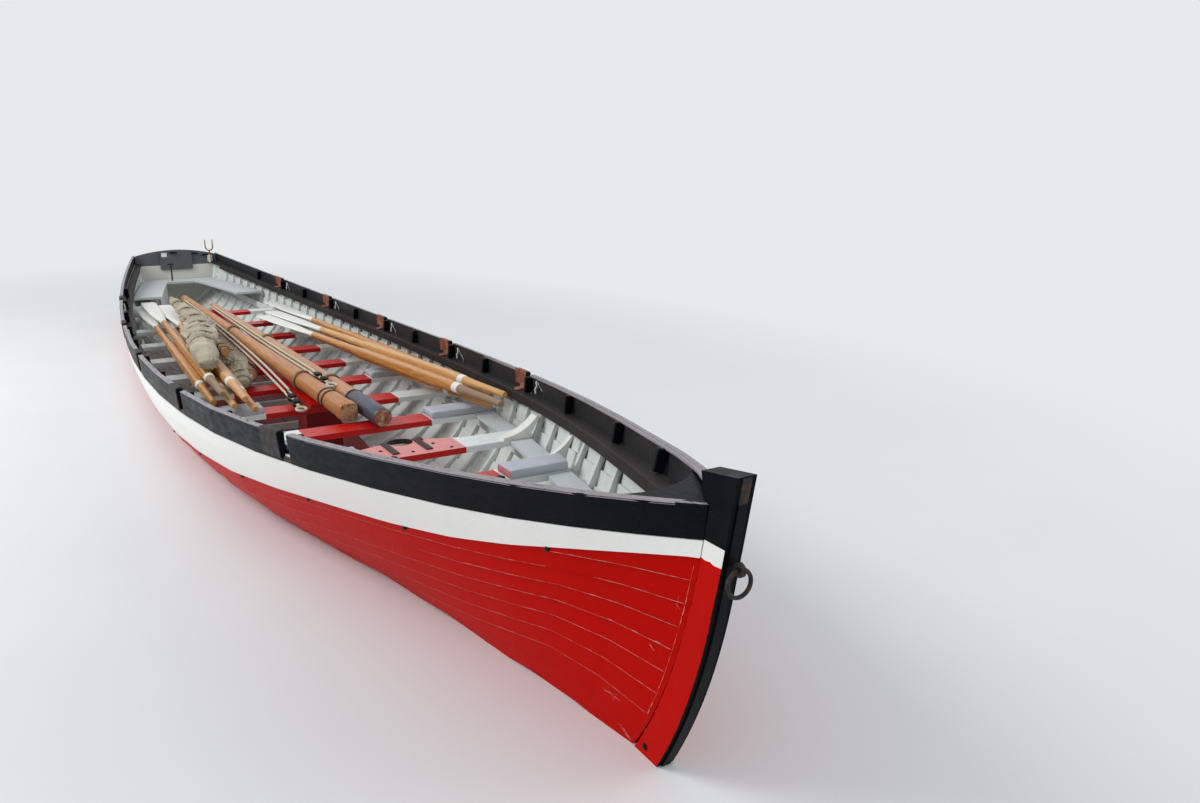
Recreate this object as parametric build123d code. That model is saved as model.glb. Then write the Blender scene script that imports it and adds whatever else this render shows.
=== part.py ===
from build123d import *
import math
import os

# Ten-oared clinker longboat, in millimetres.
# The origin is amidships on the centreline at the waterline, +X towards the bow, +Y to port, +Z up.

# Planking and backbone
RED_STRAKES = 11
PLANK = 12.0
WASH_THICKNESS = 24.0
WASH_END = 20.0
LAND_SHARE = 0.20
PAINT_GAP = 0.4
BOW_GAP = 1.6
TOP_ROUNDING = 4.0
KEEL_HALF = 30.0
RABBET_HALF = 32.0
HOG_HALF = 11.0
HOG_HEIGHT = 34.0
KEEL_BOTTOM = -330.0
RABBET_Z = -235.0
RABBET_GAP = 2.0

# Frames and longitudinals
RIB_WIDTH = 24.0
RIB_DEPTH = 14.0
RIB_INSET = 36.0
LINER_INSET = RIB_INSET + RIB_DEPTH + 10.0
RIB_SPACING = 192.75
FIRST_RIB = -5270.0
LAST_RIB = 4720.0
RIB_KNOTS = [0.1, 0.3, 0.48, 0.64, 0.82, 0.985]
INWALE_WIDTH = 26.0
INWALE_HEIGHT = 48.0
INWALE_BELOW_SHEER = -8.0
RISER_WIDTH = 18.0
RISER_HEIGHT = 60.0
RISER_BELOW_SHEER = 228.0

# Rowing stations: one oar notch a thwart, on port and starboard in turn from the stern
ROWERS = 10
ROOM = 771.0
FIRST_NOTCH = -3328.0
NOTCH_WIDTH = 88.0
THWART_FROM_NOTCH = 318.0
THWART_DEPTH = 180.0
THWART_THICKNESS = 32.0
THWART_BELOW_WASH = 265.0
THWART_END_GAP = 7.0
MAST_THWART = 8
MAST_THWART_AFT = 165.0
MAST_THWART_FLAT = 130.0
MAST_THWART_BULGE = 330.0

RED_HALF_LENGTHS = [360, 430, 470, 505, 510, 480, 425, 368, 265, 150]
PORT_PADS = [5, 7, 9]
STARBOARD_PADS = [6, 8]
PAD_THICKNESS = 42.0
PAD_MARGIN = 8.0
# Room left in the pads for the knees: thwart, at the aft edge and at the outer end
PAD_TRIMS = {8: (0, 164), 9: (28, 0)}
FLOOR_Z = -125.0
FLOOR_THICKNESS = 16.0
BENCH_Z = 436.0
BENCH_THICKNESS = 24.0
BENCH_WIDTH = 290.0
BENCH_XS = [-5700, -5300, -4800, -4350, -3900]
STERN_BENCH_EDGE = -5400.0
GANGBOARD_Y = -50.0
GANGBOARD_WIDTH = 200.0
GANGBOARD_THICKNESS = 24.0
GANGBOARD_THWARTS = 7

# Stern
TRANSOM_THICKNESS = 28.0
TRANSOM_CROWN = 803.0
TRANSOM_GAP = 2.0
TRANSOM_EDGE_GAP = 4.0
BACKBOARD = (190.0, 560.0, 790.0)
BACKBOARD_THICKNESS = 26.0
POST_HALF = 28.0
POST_LOW = (-5730.0, KEEL_BOTTOM)
POST_TOP = (-5850.0, 560.0)
GUDGEON_HEIGHTS = [60.0, 430.0]
GUDGEON_CHEEK = 6.0
GUDGEON_REACH = 28.0
GUDGEON_LENGTH = 30.0
GUDGEON_BORE = 8.0
GUDGEON_ARM = 50.0
CRUTCH = (-5745.0, 412.0)
CRUTCH_SHANK = 9.0
CRUTCH_GAP = 0.4
SOCKET_RADIUS = 17.0
SOCKET_LOW = 630.0
SOCKET_HIGH = 730.0
FORK_Z = 830.0
FORK_RADIUS = 45.0
FORK_BAR = 7.0
STERN_PIN = (-5520.0, -95.0)
STERN_PIN_HEIGHT = 210.0

# Bow
BAND_HALF = 16.0
BREASTHOOK_XS = [5250, 5360, 5480, 5600]
BREASTHOOK_Z = 862.0
BREASTHOOK_THICKNESS = 30.0
BREASTHOOK_HOLLOW = 120.0
BREASTHOOK_GAP = 3.0
EYE = Vector(5779, 0, 790)
EYE_RADIUS = 21.0
EYE_BORE = 9.0
EYE_WIDTH = 12.0
EYE_SHANK_RADIUS = 7.0
EYE_SHANK_REACH = 29.0
EYE_SHANK_LENGTH = 14.0
RING_RADIUS = 40.0
RING_BAR = 6.5

# Wash strake fittings
POST_LENGTH = 30.0
POST_DEPTH = 18.0
LEATHER_LENGTH = 180.0
LEATHER_THICKNESS = 3.5
LEATHER_GAP = 1.5
LEATHER_OUTER_START = 0.1
LEATHER_INNER_END = 0.6

# Thwart fittings
# Standing knees: thwart, distance forward of the thwart's middle, thickness and length along the thwart
KNEES = [(8, 53, 70, 150), (9, -75, 26, 110)]
KNEE_HEIGHT = 108.0
KNEE_TOE = 14.0
KNEE_HEAD = 18.0
SHELF_WIDTH = 120.0
SHELF_THICKNESS = 18.0
SHELF_DROP = 12.0
SHELF_BOW_END = 4560.0
GATE_GAP = 7.0
GATE_HEIGHT = 26.0
GATE_PIVOT = 108.0
GATE_PIN = 6.0
GATE_PIN_GAP = 0.4
STRAP_Y = 88.0
STRAP_LENGTH = 210.0
STRAP_WIDTH = 34.0
STRAP_THICKNESS = 6.0
STRETCHER_AFT = 430.0
STRETCHER_HEIGHT = 50.0
STRETCHER_WIDTH = 45.0
TRUNK_X = 1290.0
TRUNK_LENGTH = 260.0
TRUNK_WIDTH = 230.0
TRUNK_WALL = 20.0
TRUNK_TOP = 270.0

# Masts, oars and sails
FOREMAST_HOLE_RADIUS = 64.0
OAR_LENGTH = 5200.0
SPAR_SIDES = 16
# Stowed spars: butt and tip points, butt and tip radii
FOREMAST = ((2300, -70, 451), (-3922, -163, 401), 62, 36)
MAINMAST = ((2520, 62, 451), (-3127, 20, 404), 58, 34)
YARDS = [
    ((560, -452, 557), (-3000, -395, 520), 30, 22),
    ((740, -320, 405), (-1800, -282, 385), 32, 24),
    ((99, -191, 345), (-2061, -181, 352), 15, 12),
]
# Furled sails round the first two yards: x, y, z, width and height of their sections
SAILS = [
    [(1060, -640, 572, 90, 70), (850, -620, 585, 180, 125), (350, -575, 584, 200, 135), (-300, -500, 576, 250, 130),
     (-1000, -425, 553, 220, 120), (-1900, -400, 530, 150, 100), (-2850, -397, 518, 80, 72)],
    [(950, -425, 395, 60, 60), (820, -395, 391, 130, 105), (450, -352, 383, 185, 130), (-300, -305, 376, 180, 130),
     (-1200, -287, 374, 150, 125), (-1700, -283, 380, 90, 90)],
]
# Stowed oars: x, y and height above the thwarts of the handle's end, then y and height of the blade's tip
OARS = {
    "oars_port": [
        (2670, 655, 78, 425, 12),
        (2400, 790, 78, 545, 12),
        (1800, 845, 78, 660, 12),
        (2960, 600, 137, 355, 62),
        (2717, 735, 140, 485, 62),
    ],
    "oars_starboard": [
        (1560, -700, 78, -640, 12),
        (1760, -610, 78, -510, 12),
        (1930, -520, 78, -385, 12),
        (1650, -655, 140, -575, 62),
        (1880, -565, 140, -447, 62),
    ],
}
# Distance from the handle's end, width, height and corner cut of an oar's octagonal sections
OAR_SECTIONS = [
    (0, 38, 38, 11),
    (430, 44, 44, 13),
    (560, 60, 60, 17),
    (820, 62, 62, 12),
    (2300, 62, 62, 12),
    (2420, 58, 58, 17),
    (3640, 50, 50, 15),
    (3800, 62, 34, 10),
    (4250, 112, 18, 5),
    (5200, 125, 12, 3),
]

# Hull stations from the transom to the bow. Each row gives the x of the section's foot and sheer,
# the foot's height, the floor and bilge control points, the sheer point and the wash strake's top edge.
# foot_x, sheer_x, foot_z, floor_y, floor_z, bilge_y, bilge_z, sheer_y, sheer_z, wash_y, wash_z, lap
STATIONS = [
    (-5690, -5800, 0, 42, 150, 500, 130, 493, 612, 506, 740, 7),
    (-4960, -5000, -165, 110, -110, 560, -40, 617, 562, 629, 692, 11),
    (-4000, -4000, -222, 250, -190, 690, -60, 748, 513, 760, 643, 12),
    (-2800, -2800, RABBET_Z, 370, -215, 830, -40, 870, 470, 882, 600, 12),
    (-1400, -1400, RABBET_Z, 470, -210, 925, -20, 968, 443, 980, 573, 12),
    (0, 0, RABBET_Z, 530, -205, 970, -20, 1008, 445, 1020, 575, 12),
    (1400, 1400, RABBET_Z, 490, -200, 935, -10, 980, 478, 992, 610, 12),
    (2650, 2700, RABBET_Z, 330, -190, 750, 10, 865, 540, 877, 670, 12),
    (3650, 3800, RABBET_Z, 150, -190, 430, 60, 667, 624, 678, 754, 12),
    (4350, 4700, RABBET_Z, 90, -190, 240, 100, 418, 708, 430, 840, 10),
    (4700, 5250, RABBET_Z, 60, -190, 150, 120, 222, 778, 233, 905, 8),
]
# The stem's rabbet, where all planks end: foot, floor, bilge and sheer points, then the wash strake's top.
STEM_RABBET = [(4907, RABBET_Z), (5320, RABBET_Z), (5570, 400), (5660, 840), (5672, 942)]
STEM_LAP = 3.0
# Offsets of the stem's own rabbet line, then of the apron's back curve, from the rabbet's control points
STEM_REBATE = [(4, -18), (2, -12), (2, -2), (2, -2)]
# The stem's front from the keel: two points on its forefoot, two on its rise, then its head
STEM_FRONT = [(STEM_RABBET[0][0], KEEL_BOTTOM), (5310, -175), (5452, 0), (5633, 378), (5725, 705)]
STEM_HEAD = [(5796, 1058), (5640, 1036), (5655, 952), (5680, 948)]
STEM_BAND_TOP = (5780, 978)
APRON_BACK = [(0, 34), (-30, 46), (-64, 30), (-64, 0)]


def lerp(a, b, share):
    return a + (b - a) * share


def controls(row):
    """The five guide points of a station: foot, floor, bilge, sheer and wash top."""
    foot_x, sheer_x, foot_z, floor_y, floor_z, bilge_y, bilge_z, sheer_y, sheer_z, wash_y, wash_z, lap = row
    slope = (sheer_x - foot_x) / (sheer_z - foot_z)
    heights = [(RABBET_HALF, foot_z), (floor_y, floor_z), (bilge_y, bilge_z), (sheer_y, sheer_z), (wash_y, wash_z)]
    return [(foot_x + slope * (z - foot_z), y, z) for y, z in heights]


GUIDES = [[n for point in controls(row) for n in point] for row in STATIONS]
GUIDES.append([n for x, z in STEM_RABBET for n in (x, RABBET_HALF, z)])
LAPS = [row[-1] for row in STATIONS] + [STEM_LAP]
STEM = len(GUIDES) - 1


def blend(s, values):
    """Catmull-Rom value at station number s, which may lie between stations."""
    i = min(max(int(s), 0), len(values) - 2)
    f = s - i
    a, b = values[i], values[i + 1]
    before = values[i - 1] if i > 0 else 2 * a - b
    after = values[i + 2] if i + 2 < len(values) else 2 * b - a
    return a + 0.5 * f * (b - before + f * (2 * before - 5 * a + 4 * b - after + f * (3 * (a - b) + after - before)))


GUIDE_COLUMNS = [list(column) for column in zip(*GUIDES)]


def guides_at(s):
    """Foot, floor, bilge, sheer and wash top points at station number s."""
    numbers = [blend(s, column) for column in GUIDE_COLUMNS]
    return [tuple(numbers[i:i + 3]) for i in range(0, 15, 3)]


def bezier(points, t):
    weights = ((1 - t)**3, 3 * t * (1 - t)**2, 3 * t**2 * (1 - t), t**3)
    return tuple(sum(w * p[axis] for w, p in zip(weights, points)) for axis in range(3))


def moulded(points, share):
    """The point at a share of the girth from foot to sheer, in even steps of arc length."""
    steps = 48
    line = [Vector(*bezier(points, i / steps)) for i in range(steps + 1)]
    lengths = [(line[i + 1] - line[i]).length for i in range(steps)]
    wanted = share * sum(lengths)
    for i, length in enumerate(lengths):
        if wanted <= length or i == steps - 1:
            return line[i] + (line[i + 1] - line[i]) * (wanted / length)
        wanted -= length


def bow_share(s):
    return max(0.0, (s - 6) / (STEM - 6))


def seam_share(k, s):
    """Share of the girth where strake k starts: even amidships, closing up towards the sheer at the stem."""
    bow = bow_share(s)
    top = lerp(0.921, 0.961, bow)
    power = lerp(1.0, 0.68, bow)
    return top * (k / RED_STRAKES)**power if k <= RED_STRAKES else 1.0


def strake_sections(s):
    """Pentagons of all strakes at station s, from the garboard to the wash strake.

    Each upper strake lies on a bevelled land planed on the one below it.
    """
    points = guides_at(s)
    foot, sheer, wash_top = Vector(*points[0]), Vector(*points[3]), Vector(*points[4])
    seams = [moulded(points, seam_share(k, s)) for k in range(RED_STRAKES + 2)] + [wash_top]
    lap = blend(s, LAPS)
    bow = bow_share(s)
    gap = lerp(PAINT_GAP, BOW_GAP, bow**3)
    plane_normal = (sheer - foot).cross(Vector(0, 1, 0)).normalized()
    sections = []
    upper = None
    for k in reversed(range(RED_STRAKES + 2)):
        wash = k == RED_STRAKES + 1
        along = seams[k + 1] - seams[k]
        out = plane_normal.cross(along).normalized()
        if not wash:
            along = along - out * lap
            out = plane_normal.cross(along).normalized()
        inner_low = seams[k] - out * lap
        if upper is None:
            land = seams[k + 1]
            top = seams[k + 1] + (along.normalized() - out) * TOP_ROUNDING
        else:
            upper_low, upper_top, upper_out = upper
            land = upper_low - upper_out * gap
            top = upper_low + (upper_top - upper_low) * LAND_SHARE - upper_out * gap
        side = along.cross(out).normalized()
        land = land - side * (land - seams[k]).dot(side)
        top = top - side * (top - seams[k]).dot(side)
        inner_top = top - out * (lerp(WASH_THICKNESS, WASH_END, bow) if wash else PLANK)
        sections.append([inner_low, seams[k], land, top, inner_top])
        upper = (inner_low, inner_top, out)
    return list(reversed(sections))


def face_of(points):
    return Face(Wire.make_polygon(points, close=True))


def mirrored(shapes):
    return shapes + [shape.mirror(Plane.XZ) for shape in shapes]


def save(name, shapes):
    export_step(Compound(children=list(shapes)), f"parts/{name}.step")


def station_where(test):
    """Station number below which the test holds."""
    low, high = 0.0, float(STEM)
    for _ in range(24):
        middle = (low + high) / 2
        if test(middle):
            low = middle
        else:
            high = middle
    return low


def at_x(x, share):
    """Outer hull point at x, at a share of its section's curve parameter."""
    return Vector(*bezier(guides_at(station_where(lambda s: bezier(guides_at(s), share)[0] < x)), share))


def side_y(x, z, inset=0.0):
    """Half-breadth at x and height z, less an inset measured square to the side."""
    low, high = 0.0, 1.0
    for _ in range(20):
        middle = (low + high) / 2
        if at_x(x, middle).Z < z:
            low = middle
        else:
            high = middle
    rise = (at_x(x, low) - at_x(x, max(low - 0.02, 0.0))).normalized()
    return at_x(x, low).Y - inset / max(rise.Z, 0.35)


def top_edge(x):
    """Outer top edge of the wash strake at x."""
    return Vector(*guides_at(station_where(lambda s: guides_at(s)[4][0] < x))[4])


SECTIONS = [strake_sections(s / 2) for s in range(2 * STEM + 1)]


def strakes():
    return [loft([face_of(station[k]) for station in SECTIONS], ruled=True) for k in range(RED_STRAKES + 2)]


def wash_corners(x):
    """The wash strake's section corners at x: low inside, low outside, land, top and inside top."""
    corners = []
    for edge in zip(*[station[-1] for station in SECTIONS]):
        here, there = next((a, b) for a, b in zip(edge, edge[1:]) if x <= b.X)
        corners.append(lerp(here, there, (x - here.X) / (there.X - here.X)))
    return corners


def notch_x(i):
    return FIRST_NOTCH + ROOM * i


def thwart_x(i):
    return notch_x(i) + THWART_FROM_NOTCH


def wash_panels(board, first):
    """The wash strake of one side, cut through at its five notches."""
    for i in range(first, ROWERS, 2):
        edge = top_edge(notch_x(i))
        board = board - Pos(edge.X, edge.Y, edge.Z) * Box(NOTCH_WIDTH, 300, 360)
    return board.solids()


def block(x, y, z, length, width, height):
    return Pos(x, y, z) * Box(length, width, height)


def prism(points, low_y, high_y):
    """A side profile given as (x, z) points, extruded across the boat."""
    face = face_of([Vector(x, low_y, z) for x, z in points])
    return extrude(face, amount=high_y - low_y, dir=(0, 1, 0))


def plate(points, low_z, high_z):
    """A plan given as (x, y) points, extruded upwards."""
    face = face_of([Vector(x, y, low_z) for x, y in points])
    return extrude(face, amount=high_z - low_z, dir=(0, 0, 1))


def beam(sections):
    """A ruled loft through rectangles given as (x, y, z, width, height)."""
    faces = []
    for x, y, z, width, height in sections:
        corners = [(-1, -1), (1, -1), (1, 1), (-1, 1)]
        faces.append(face_of([Vector(x, y + i * width / 2, z + j * height / 2) for i, j in corners]))
    return loft(faces, ruled=True)


def foot_line():
    """Rabbet points from the transom to the stem's foot."""
    return [Vector(*guides_at(s / 2)[0]) for s in range(2 * STEM + 1)]


def keel():
    """Keel with its deadwood aft and the hog that the garboards stand against."""
    foot = foot_line()
    stern, bow = foot[0].X, foot[-1].X
    shoulder = RABBET_Z - RABBET_GAP
    outline = [(stern, KEEL_BOTTOM), (bow, KEEL_BOTTOM), (bow, shoulder), (stern, shoulder)]
    lower = prism(outline, -KEEL_HALF, KEEL_HALF)
    rising = [p for p in foot if p.Z > RABBET_Z + 6]
    deadwood = [(stern, shoulder)] + [(p.X, p.Z - RABBET_GAP) for p in rising] + [(rising[-1].X + 500, shoulder)]
    hog = [(p.X, p.Z - 3 * RABBET_GAP) for p in foot] + [(p.X, p.Z + HOG_HEIGHT) for p in reversed(foot)]
    return lower + prism(deadwood, -KEEL_HALF, KEEL_HALF) + prism(hog, -HOG_HALF, HOG_HALF)


def stem():
    """Curved stem from the keel to its head, with a narrower apron behind the rabbet."""
    front = [Vector(x, 0, z) for x, z in STEM_FRONT]
    head = Polyline(front[-1], *[Vector(x, 0, z) for x, z in STEM_HEAD])
    rabbet_points = [Vector(x + a, 0, z + b) for (x, z), (a, b) in zip(STEM_RABBET, STEM_REBATE)]
    rabbet = Bezier(*rabbet_points)
    blade_edges = [ThreePointArc(*front[:3]), ThreePointArc(*front[2:]), *head.edges(),
                   Line(head @ 1, rabbet_points[-1]), rabbet, Line(rabbet_points[0], front[0])]
    back_points = [p + Vector(x, 0, z) for p, (x, z) in zip(rabbet_points, APRON_BACK)]
    apron_edges = [rabbet, Line(rabbet_points[-1], back_points[-1]), Bezier(*back_points),
                   Line(back_points[0], rabbet_points[0])]
    blade = extrude(Face(Wire(blade_edges)), amount=RABBET_HALF, dir=(0, 1, 0), both=True)
    return blade + extrude(Face(Wire(apron_edges)), amount=HOG_HALF, dir=(0, 1, 0), both=True)


def rib(x):
    """A bent rib from gunwale to gunwale, over the keel and inside the planking."""
    outer, inner = [], []
    floor = at_x(x, 0.0).Z + HOG_HEIGHT + 10
    for share in RIB_KNOTS:
        before, here, after = (at_x(x, share + d) for d in (-0.01, 0.0, 0.01))
        along = Vector(0, after.Y - before.Y, after.Z - before.Z).normalized()
        inward = Vector(0, -along.Z, along.Y)
        foot = here + inward * (RIB_INSET + RIB_DEPTH)
        if foot.Y > 2 * HOG_HALF and foot.Z > floor + RIB_DEPTH:
            outer.append(here + inward * RIB_INSET)
            inner.append(foot)
    outer.insert(0, Vector(x, 0, floor))
    inner.insert(0, Vector(x, 0, floor + RIB_DEPTH))
    half = outer + list(reversed(inner))
    port = [Vector(x, p.Y, p.Z) for p in half]
    starboard = [Vector(x, -p.Y, p.Z) for p in reversed(half[1:-1])]
    face = face_of(port + starboard)
    return Pos(-RIB_WIDTH / 2, 0, 0) * extrude(face, amount=RIB_WIDTH, dir=(1, 0, 0))


def ribs():
    count = int((LAST_RIB - FIRST_RIB) / RIB_SPACING)
    return [rib(FIRST_RIB + RIB_SPACING * j) for j in range(count + 1)]


def side_rail(width, height, below_sheer, low_s, high_s):
    """A lengthwise timber inside the ribs, on the port side."""
    sections = []
    for i in range(int(2 * low_s), int(2 * high_s) + 1):
        x, _, sheer_z = guides_at(i / 2)[3]
        z = sheer_z - below_sheer
        sections.append((x, side_y(x, z - height / 2, LINER_INSET) - width / 2, z, width, height))
    return beam(sections)


def thwart_top(x):
    return top_edge(x).Z - THWART_BELOW_WASH


def thwart(i):
    """One thwart, its ends cut to the side of the boat."""
    x, top = thwart_x(i), thwart_top(thwart_x(i))
    low = top - THWART_THICKNESS
    aft, fore = x - THWART_DEPTH / 2, x + THWART_DEPTH / 2
    aft_y, fore_y = (side_y(edge, low, LINER_INSET + THWART_END_GAP) for edge in (aft, fore))
    board = plate([(aft, -aft_y), (fore, -fore_y), (fore, fore_y), (aft, aft_y)], low, top)
    if i == MAST_THWART:
        wide = x - MAST_THWART_AFT
        port = [(aft, MAST_THWART_BULGE), (wide, MAST_THWART_FLAT)]
        board += plate(port + [(px, -y) for px, y in reversed(port)], low, top)
        board -= Pos(wide, 0, top) * Cylinder(FOREMAST_HOLE_RADIUS, 4 * THWART_THICKNESS)
    return board


def oar(handle, tip):
    """An oar on its axis: tapered handle, squared then rounded loom, long thin blade."""
    axis = (tip - handle).normalized()
    across = Vector(0, 0, 1).cross(axis).normalized()
    rise = axis.cross(across)
    faces = []
    for distance, width, height, cut in OAR_SECTIONS:
        faces.append(octagon(handle + axis * distance, across, rise, width, height, cut))
    return loft(faces, ruled=True)


def oar_group(rows):
    oars = []
    for x, y, height, tip_y, tip_height in rows:
        tip_x = x - math.sqrt(OAR_LENGTH**2 - (y - tip_y)**2)
        handle = Vector(x, y, thwart_top(x) + height)
        tip = Vector(tip_x, tip_y, thwart_top(tip_x) + tip_height)
        oars.append(oar(handle, tip))
    return oars


def spar(butt, tip, butt_radius, tip_radius):
    """A tapered spar, planed to SPAR_SIDES flats."""
    butt, tip = Vector(*butt), Vector(*tip)
    ends = [Plane(origin=butt, z_dir=tip - butt) * RegularPolygon(butt_radius, SPAR_SIDES),
            Plane(origin=tip, z_dir=tip - butt) * RegularPolygon(tip_radius, SPAR_SIDES)]
    return loft([end.face() for end in ends], ruled=True)


def octagon(centre, across, rise, width, height, cut):
    w, h = width / 2, height / 2
    corners = [(w, h - cut), (w - cut, h), (cut - w, h), (-w, h - cut), (-w, cut - h), (cut - w, -h),
               (w - cut, -h), (w, cut - h)]
    return face_of([centre + across * a + rise * b for a, b in corners])


def furled_sails():
    """Canvas rolled round each yard and tied."""
    rolls = []
    for rows, yard in zip(SAILS, YARDS):
        faces = [octagon(Vector(x, y, z), Vector(0, 1, 0), Vector(0, 0, 1), width, height, min(width, height) * 0.3)
                 for x, y, z, width, height in rows]
        butt, tip, butt_radius, tip_radius = yard
        rolls.append(loft(faces, ruled=True) - spar(butt, tip, butt_radius + 1, tip_radius + 1))
    return rolls


def transom_plane_x(z):
    foot_x, sheer_x, foot_z, sheer_z = (STATIONS[0][i] for i in (0, 1, 2, 8))
    return foot_x + (sheer_x - foot_x) * (z - foot_z) / (sheer_z - foot_z)


def transom():
    """Wineglass board inside the plank ends."""
    top = STATIONS[0][8]
    edge = [section[4] for section in SECTIONS[0][:-1] if HOG_HEIGHT + 12 < section[4].Z < top]
    outline = [(0.0, HOG_HEIGHT + 6)] + [(p.Y - TRANSOM_EDGE_GAP, p.Z) for p in edge]
    outline.append((outline[-1][0], top))
    ring = outline + [(-y, z) for y, z in reversed(outline[1:])]
    face = face_of([Vector(transom_plane_x(z) + TRANSOM_GAP, y, z) for y, z in ring])
    return extrude(face, amount=TRANSOM_THICKNESS, dir=(1, 0, 0))


def transom_board():
    """Crowned wash board on top of the transom."""
    low, side = STATIONS[0][8] + TRANSOM_GAP, STATIONS[0][10]
    half = STATIONS[0][9] - WASH_THICKNESS - 14

    def at(y, z):
        return Vector(transom_plane_x(z) + TRANSOM_GAP, y, z)

    bottom = Polyline(at(half, side), at(half, low), at(-half, low), at(-half, side))
    top = ThreePointArc(bottom @ 1, at(0, TRANSOM_CROWN), bottom @ 0)
    return extrude(Face(Wire([*bottom.edges(), top])), amount=TRANSOM_THICKNESS, dir=(1, 0, 0))


def transom_backboard():
    """Upright board inside the transom, at the middle."""
    half, low, high = BACKBOARD
    ring = [(-half, low), (half, low), (half, high), (-half, high)]
    front = TRANSOM_THICKNESS + 2 * TRANSOM_GAP
    face = face_of([Vector(transom_plane_x(z) + front, y, z) for y, z in ring])
    return extrude(face, amount=BACKBOARD_THICKNESS, dir=(1, 0, 0))


def sternpost():
    foot = transom_plane_x(0) - TRANSOM_GAP
    head = transom_plane_x(POST_TOP[1]) - TRANSOM_GAP
    outline = [(foot, KEEL_BOTTOM), (POST_LOW[0], KEEL_BOTTOM), POST_TOP, (head, POST_TOP[1]), (foot, 0)]
    return prism(outline, -POST_HALF, POST_HALF)


def gudgeon(z):
    """A rudder gudgeon: two cheeks on the sternpost and a barrel behind it, on the post's rake."""
    share = (z - POST_LOW[1]) / (POST_TOP[1] - POST_LOW[1])
    origin = Vector(lerp(POST_LOW[0], POST_TOP[0], share), 0, z)
    rake = Vector(POST_TOP[0] - POST_LOW[0], 0, POST_TOP[1] - POST_LOW[1])
    frame = Plane(origin=origin, x_dir=Vector(0, -1, 0).cross(rake), z_dir=rake)
    cheek = GUDGEON_CHEEK
    outer = POST_HALF + cheek
    body = block(GUDGEON_REACH / 2, 0, 0, GUDGEON_REACH, 2 * outer, GUDGEON_LENGTH)
    body += Cylinder(2 * GUDGEON_BORE, GUDGEON_LENGTH).moved(Location((GUDGEON_REACH, 0, 0)))
    for side in (-1, 1):
        body += block(-GUDGEON_ARM / 2, side * (outer - cheek / 2), 0, GUDGEON_ARM, cheek, GUDGEON_LENGTH)
    body -= Cylinder(GUDGEON_BORE, 2 * GUDGEON_LENGTH).moved(Location((GUDGEON_REACH, 0, 0)))
    body -= block(-GUDGEON_ARM, 0, 0, 2 * GUDGEON_ARM, 2 * POST_HALF + PAINT_GAP, GUDGEON_LENGTH * 2)
    return frame * body


def front_edges(shift):
    """The stem's front line, shifted, from the keel to below the head."""
    points = [Vector(x, 0, z) + shift for x, z in STEM_FRONT + [STEM_BAND_TOP]]
    return [ThreePointArc(*points[:3]), ThreePointArc(*points[2:5]), Line(points[4], points[5])]


def stem_band():
    """Iron band down the stem's front."""
    inner, outer = front_edges(Vector(0.4, 0, -0.4)), front_edges(Vector(5, 0, -4))
    closing = [Line(inner[-1] @ 1, outer[-1] @ 1), Line(inner[0] @ 0, outer[0] @ 0)]
    return extrude(Face(Wire([*inner, *outer, *closing])), amount=BAND_HALF, dir=(0, 1, 0), both=True)


def ring_eye():
    """Bored eye on the stem, with the shank that carries it."""
    middle = EYE_SHANK_REACH - EYE_SHANK_LENGTH / 2
    shank = Plane(origin=EYE - Vector(middle, 0, 0), z_dir=(1, 0, 0)) * Cylinder(EYE_SHANK_RADIUS, EYE_SHANK_LENGTH)
    eye = Cylinder(EYE_RADIUS, EYE_WIDTH) - Cylinder(EYE_BORE, EYE_WIDTH)
    return shank + Plane(origin=EYE, z_dir=(0, 1, 0)) * eye


def mooring_ring():
    """Ring of eight-sided bar that hangs in the eye."""
    bar = Plane.XZ * Pos(RING_RADIUS, 0) * RegularPolygon(RING_BAR, 8)
    ring = revolve(bar, Axis.Z)
    return Plane(origin=EYE - Vector(0, 0, RING_RADIUS), z_dir=(1, 0, 0)) * ring


def wash_posts(first):
    """Posts inside one wash strake, midway between notches and before each notch."""
    posts = []
    for i in range(first, ROWERS, 2):
        for shift in (-ROOM, NOTCH_WIDTH / 2 + POST_LENGTH / 2 + 4):
            x = notch_x(i) + shift
            top = top_edge(x)
            low = at_x(x, 1.0)
            lean = (top.Y - low.Y) / 2
            y = top.Y - lean - WASH_THICKNESS - POST_DEPTH / 2 - 9
            posts.append(block(x, y, (low.Z + top.Z) / 2 + 14, POST_LENGTH, POST_DEPTH, top.Z - low.Z - 40))
    return posts


def leather_line(x, gap):
    """The wash strake's outline at x, a gap away from it: up its outer face, over its top and down inside."""
    low_inside, low, land, top, top_inside = wash_corners(x)
    rise = (land - low).normalized()
    out = Vector(0, rise.Z, -rise.Y)
    return [
        lerp(low, land, LEATHER_OUTER_START) + out * gap,
        land + out * gap,
        top + (rise + out * 0.4) * gap,
        top_inside + (rise - out) * gap,
        lerp(top_inside, low_inside, LEATHER_INNER_END) - out * gap,
    ]


def leather(i):
    """Oar leather folded over the wash strake behind notch i."""
    end = notch_x(i) - NOTCH_WIDTH / 2 - 2
    faces = []
    for x in (end - LEATHER_LENGTH, end - LEATHER_LENGTH / 2, end):
        near = leather_line(x, LEATHER_GAP)
        far = leather_line(x, LEATHER_GAP + LEATHER_THICKNESS)
        faces.append(face_of(near + list(reversed(far))))
    return loft(faces, ruled=True)


def thwart_pad(i, side):
    x, top = thwart_x(i), thwart_top(thwart_x(i))
    aft_trim, end_trim = PAD_TRIMS.get(i, (0, 0))
    aft = x - THWART_DEPTH / 2 + PAD_MARGIN + aft_trim
    fore = x + THWART_DEPTH / 2 - PAD_MARGIN
    inner = RED_HALF_LENGTHS[i] + PAD_MARGIN
    aft_y, fore_y = (side_y(edge, top - THWART_THICKNESS, LINER_INSET + 14) - end_trim for edge in (aft, fore))
    points = [(aft, side * inner), (fore, side * inner), (fore, side * fore_y), (aft, side * aft_y)]
    return plate(points, top + PAINT_GAP, top + PAD_THICKNESS)


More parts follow.
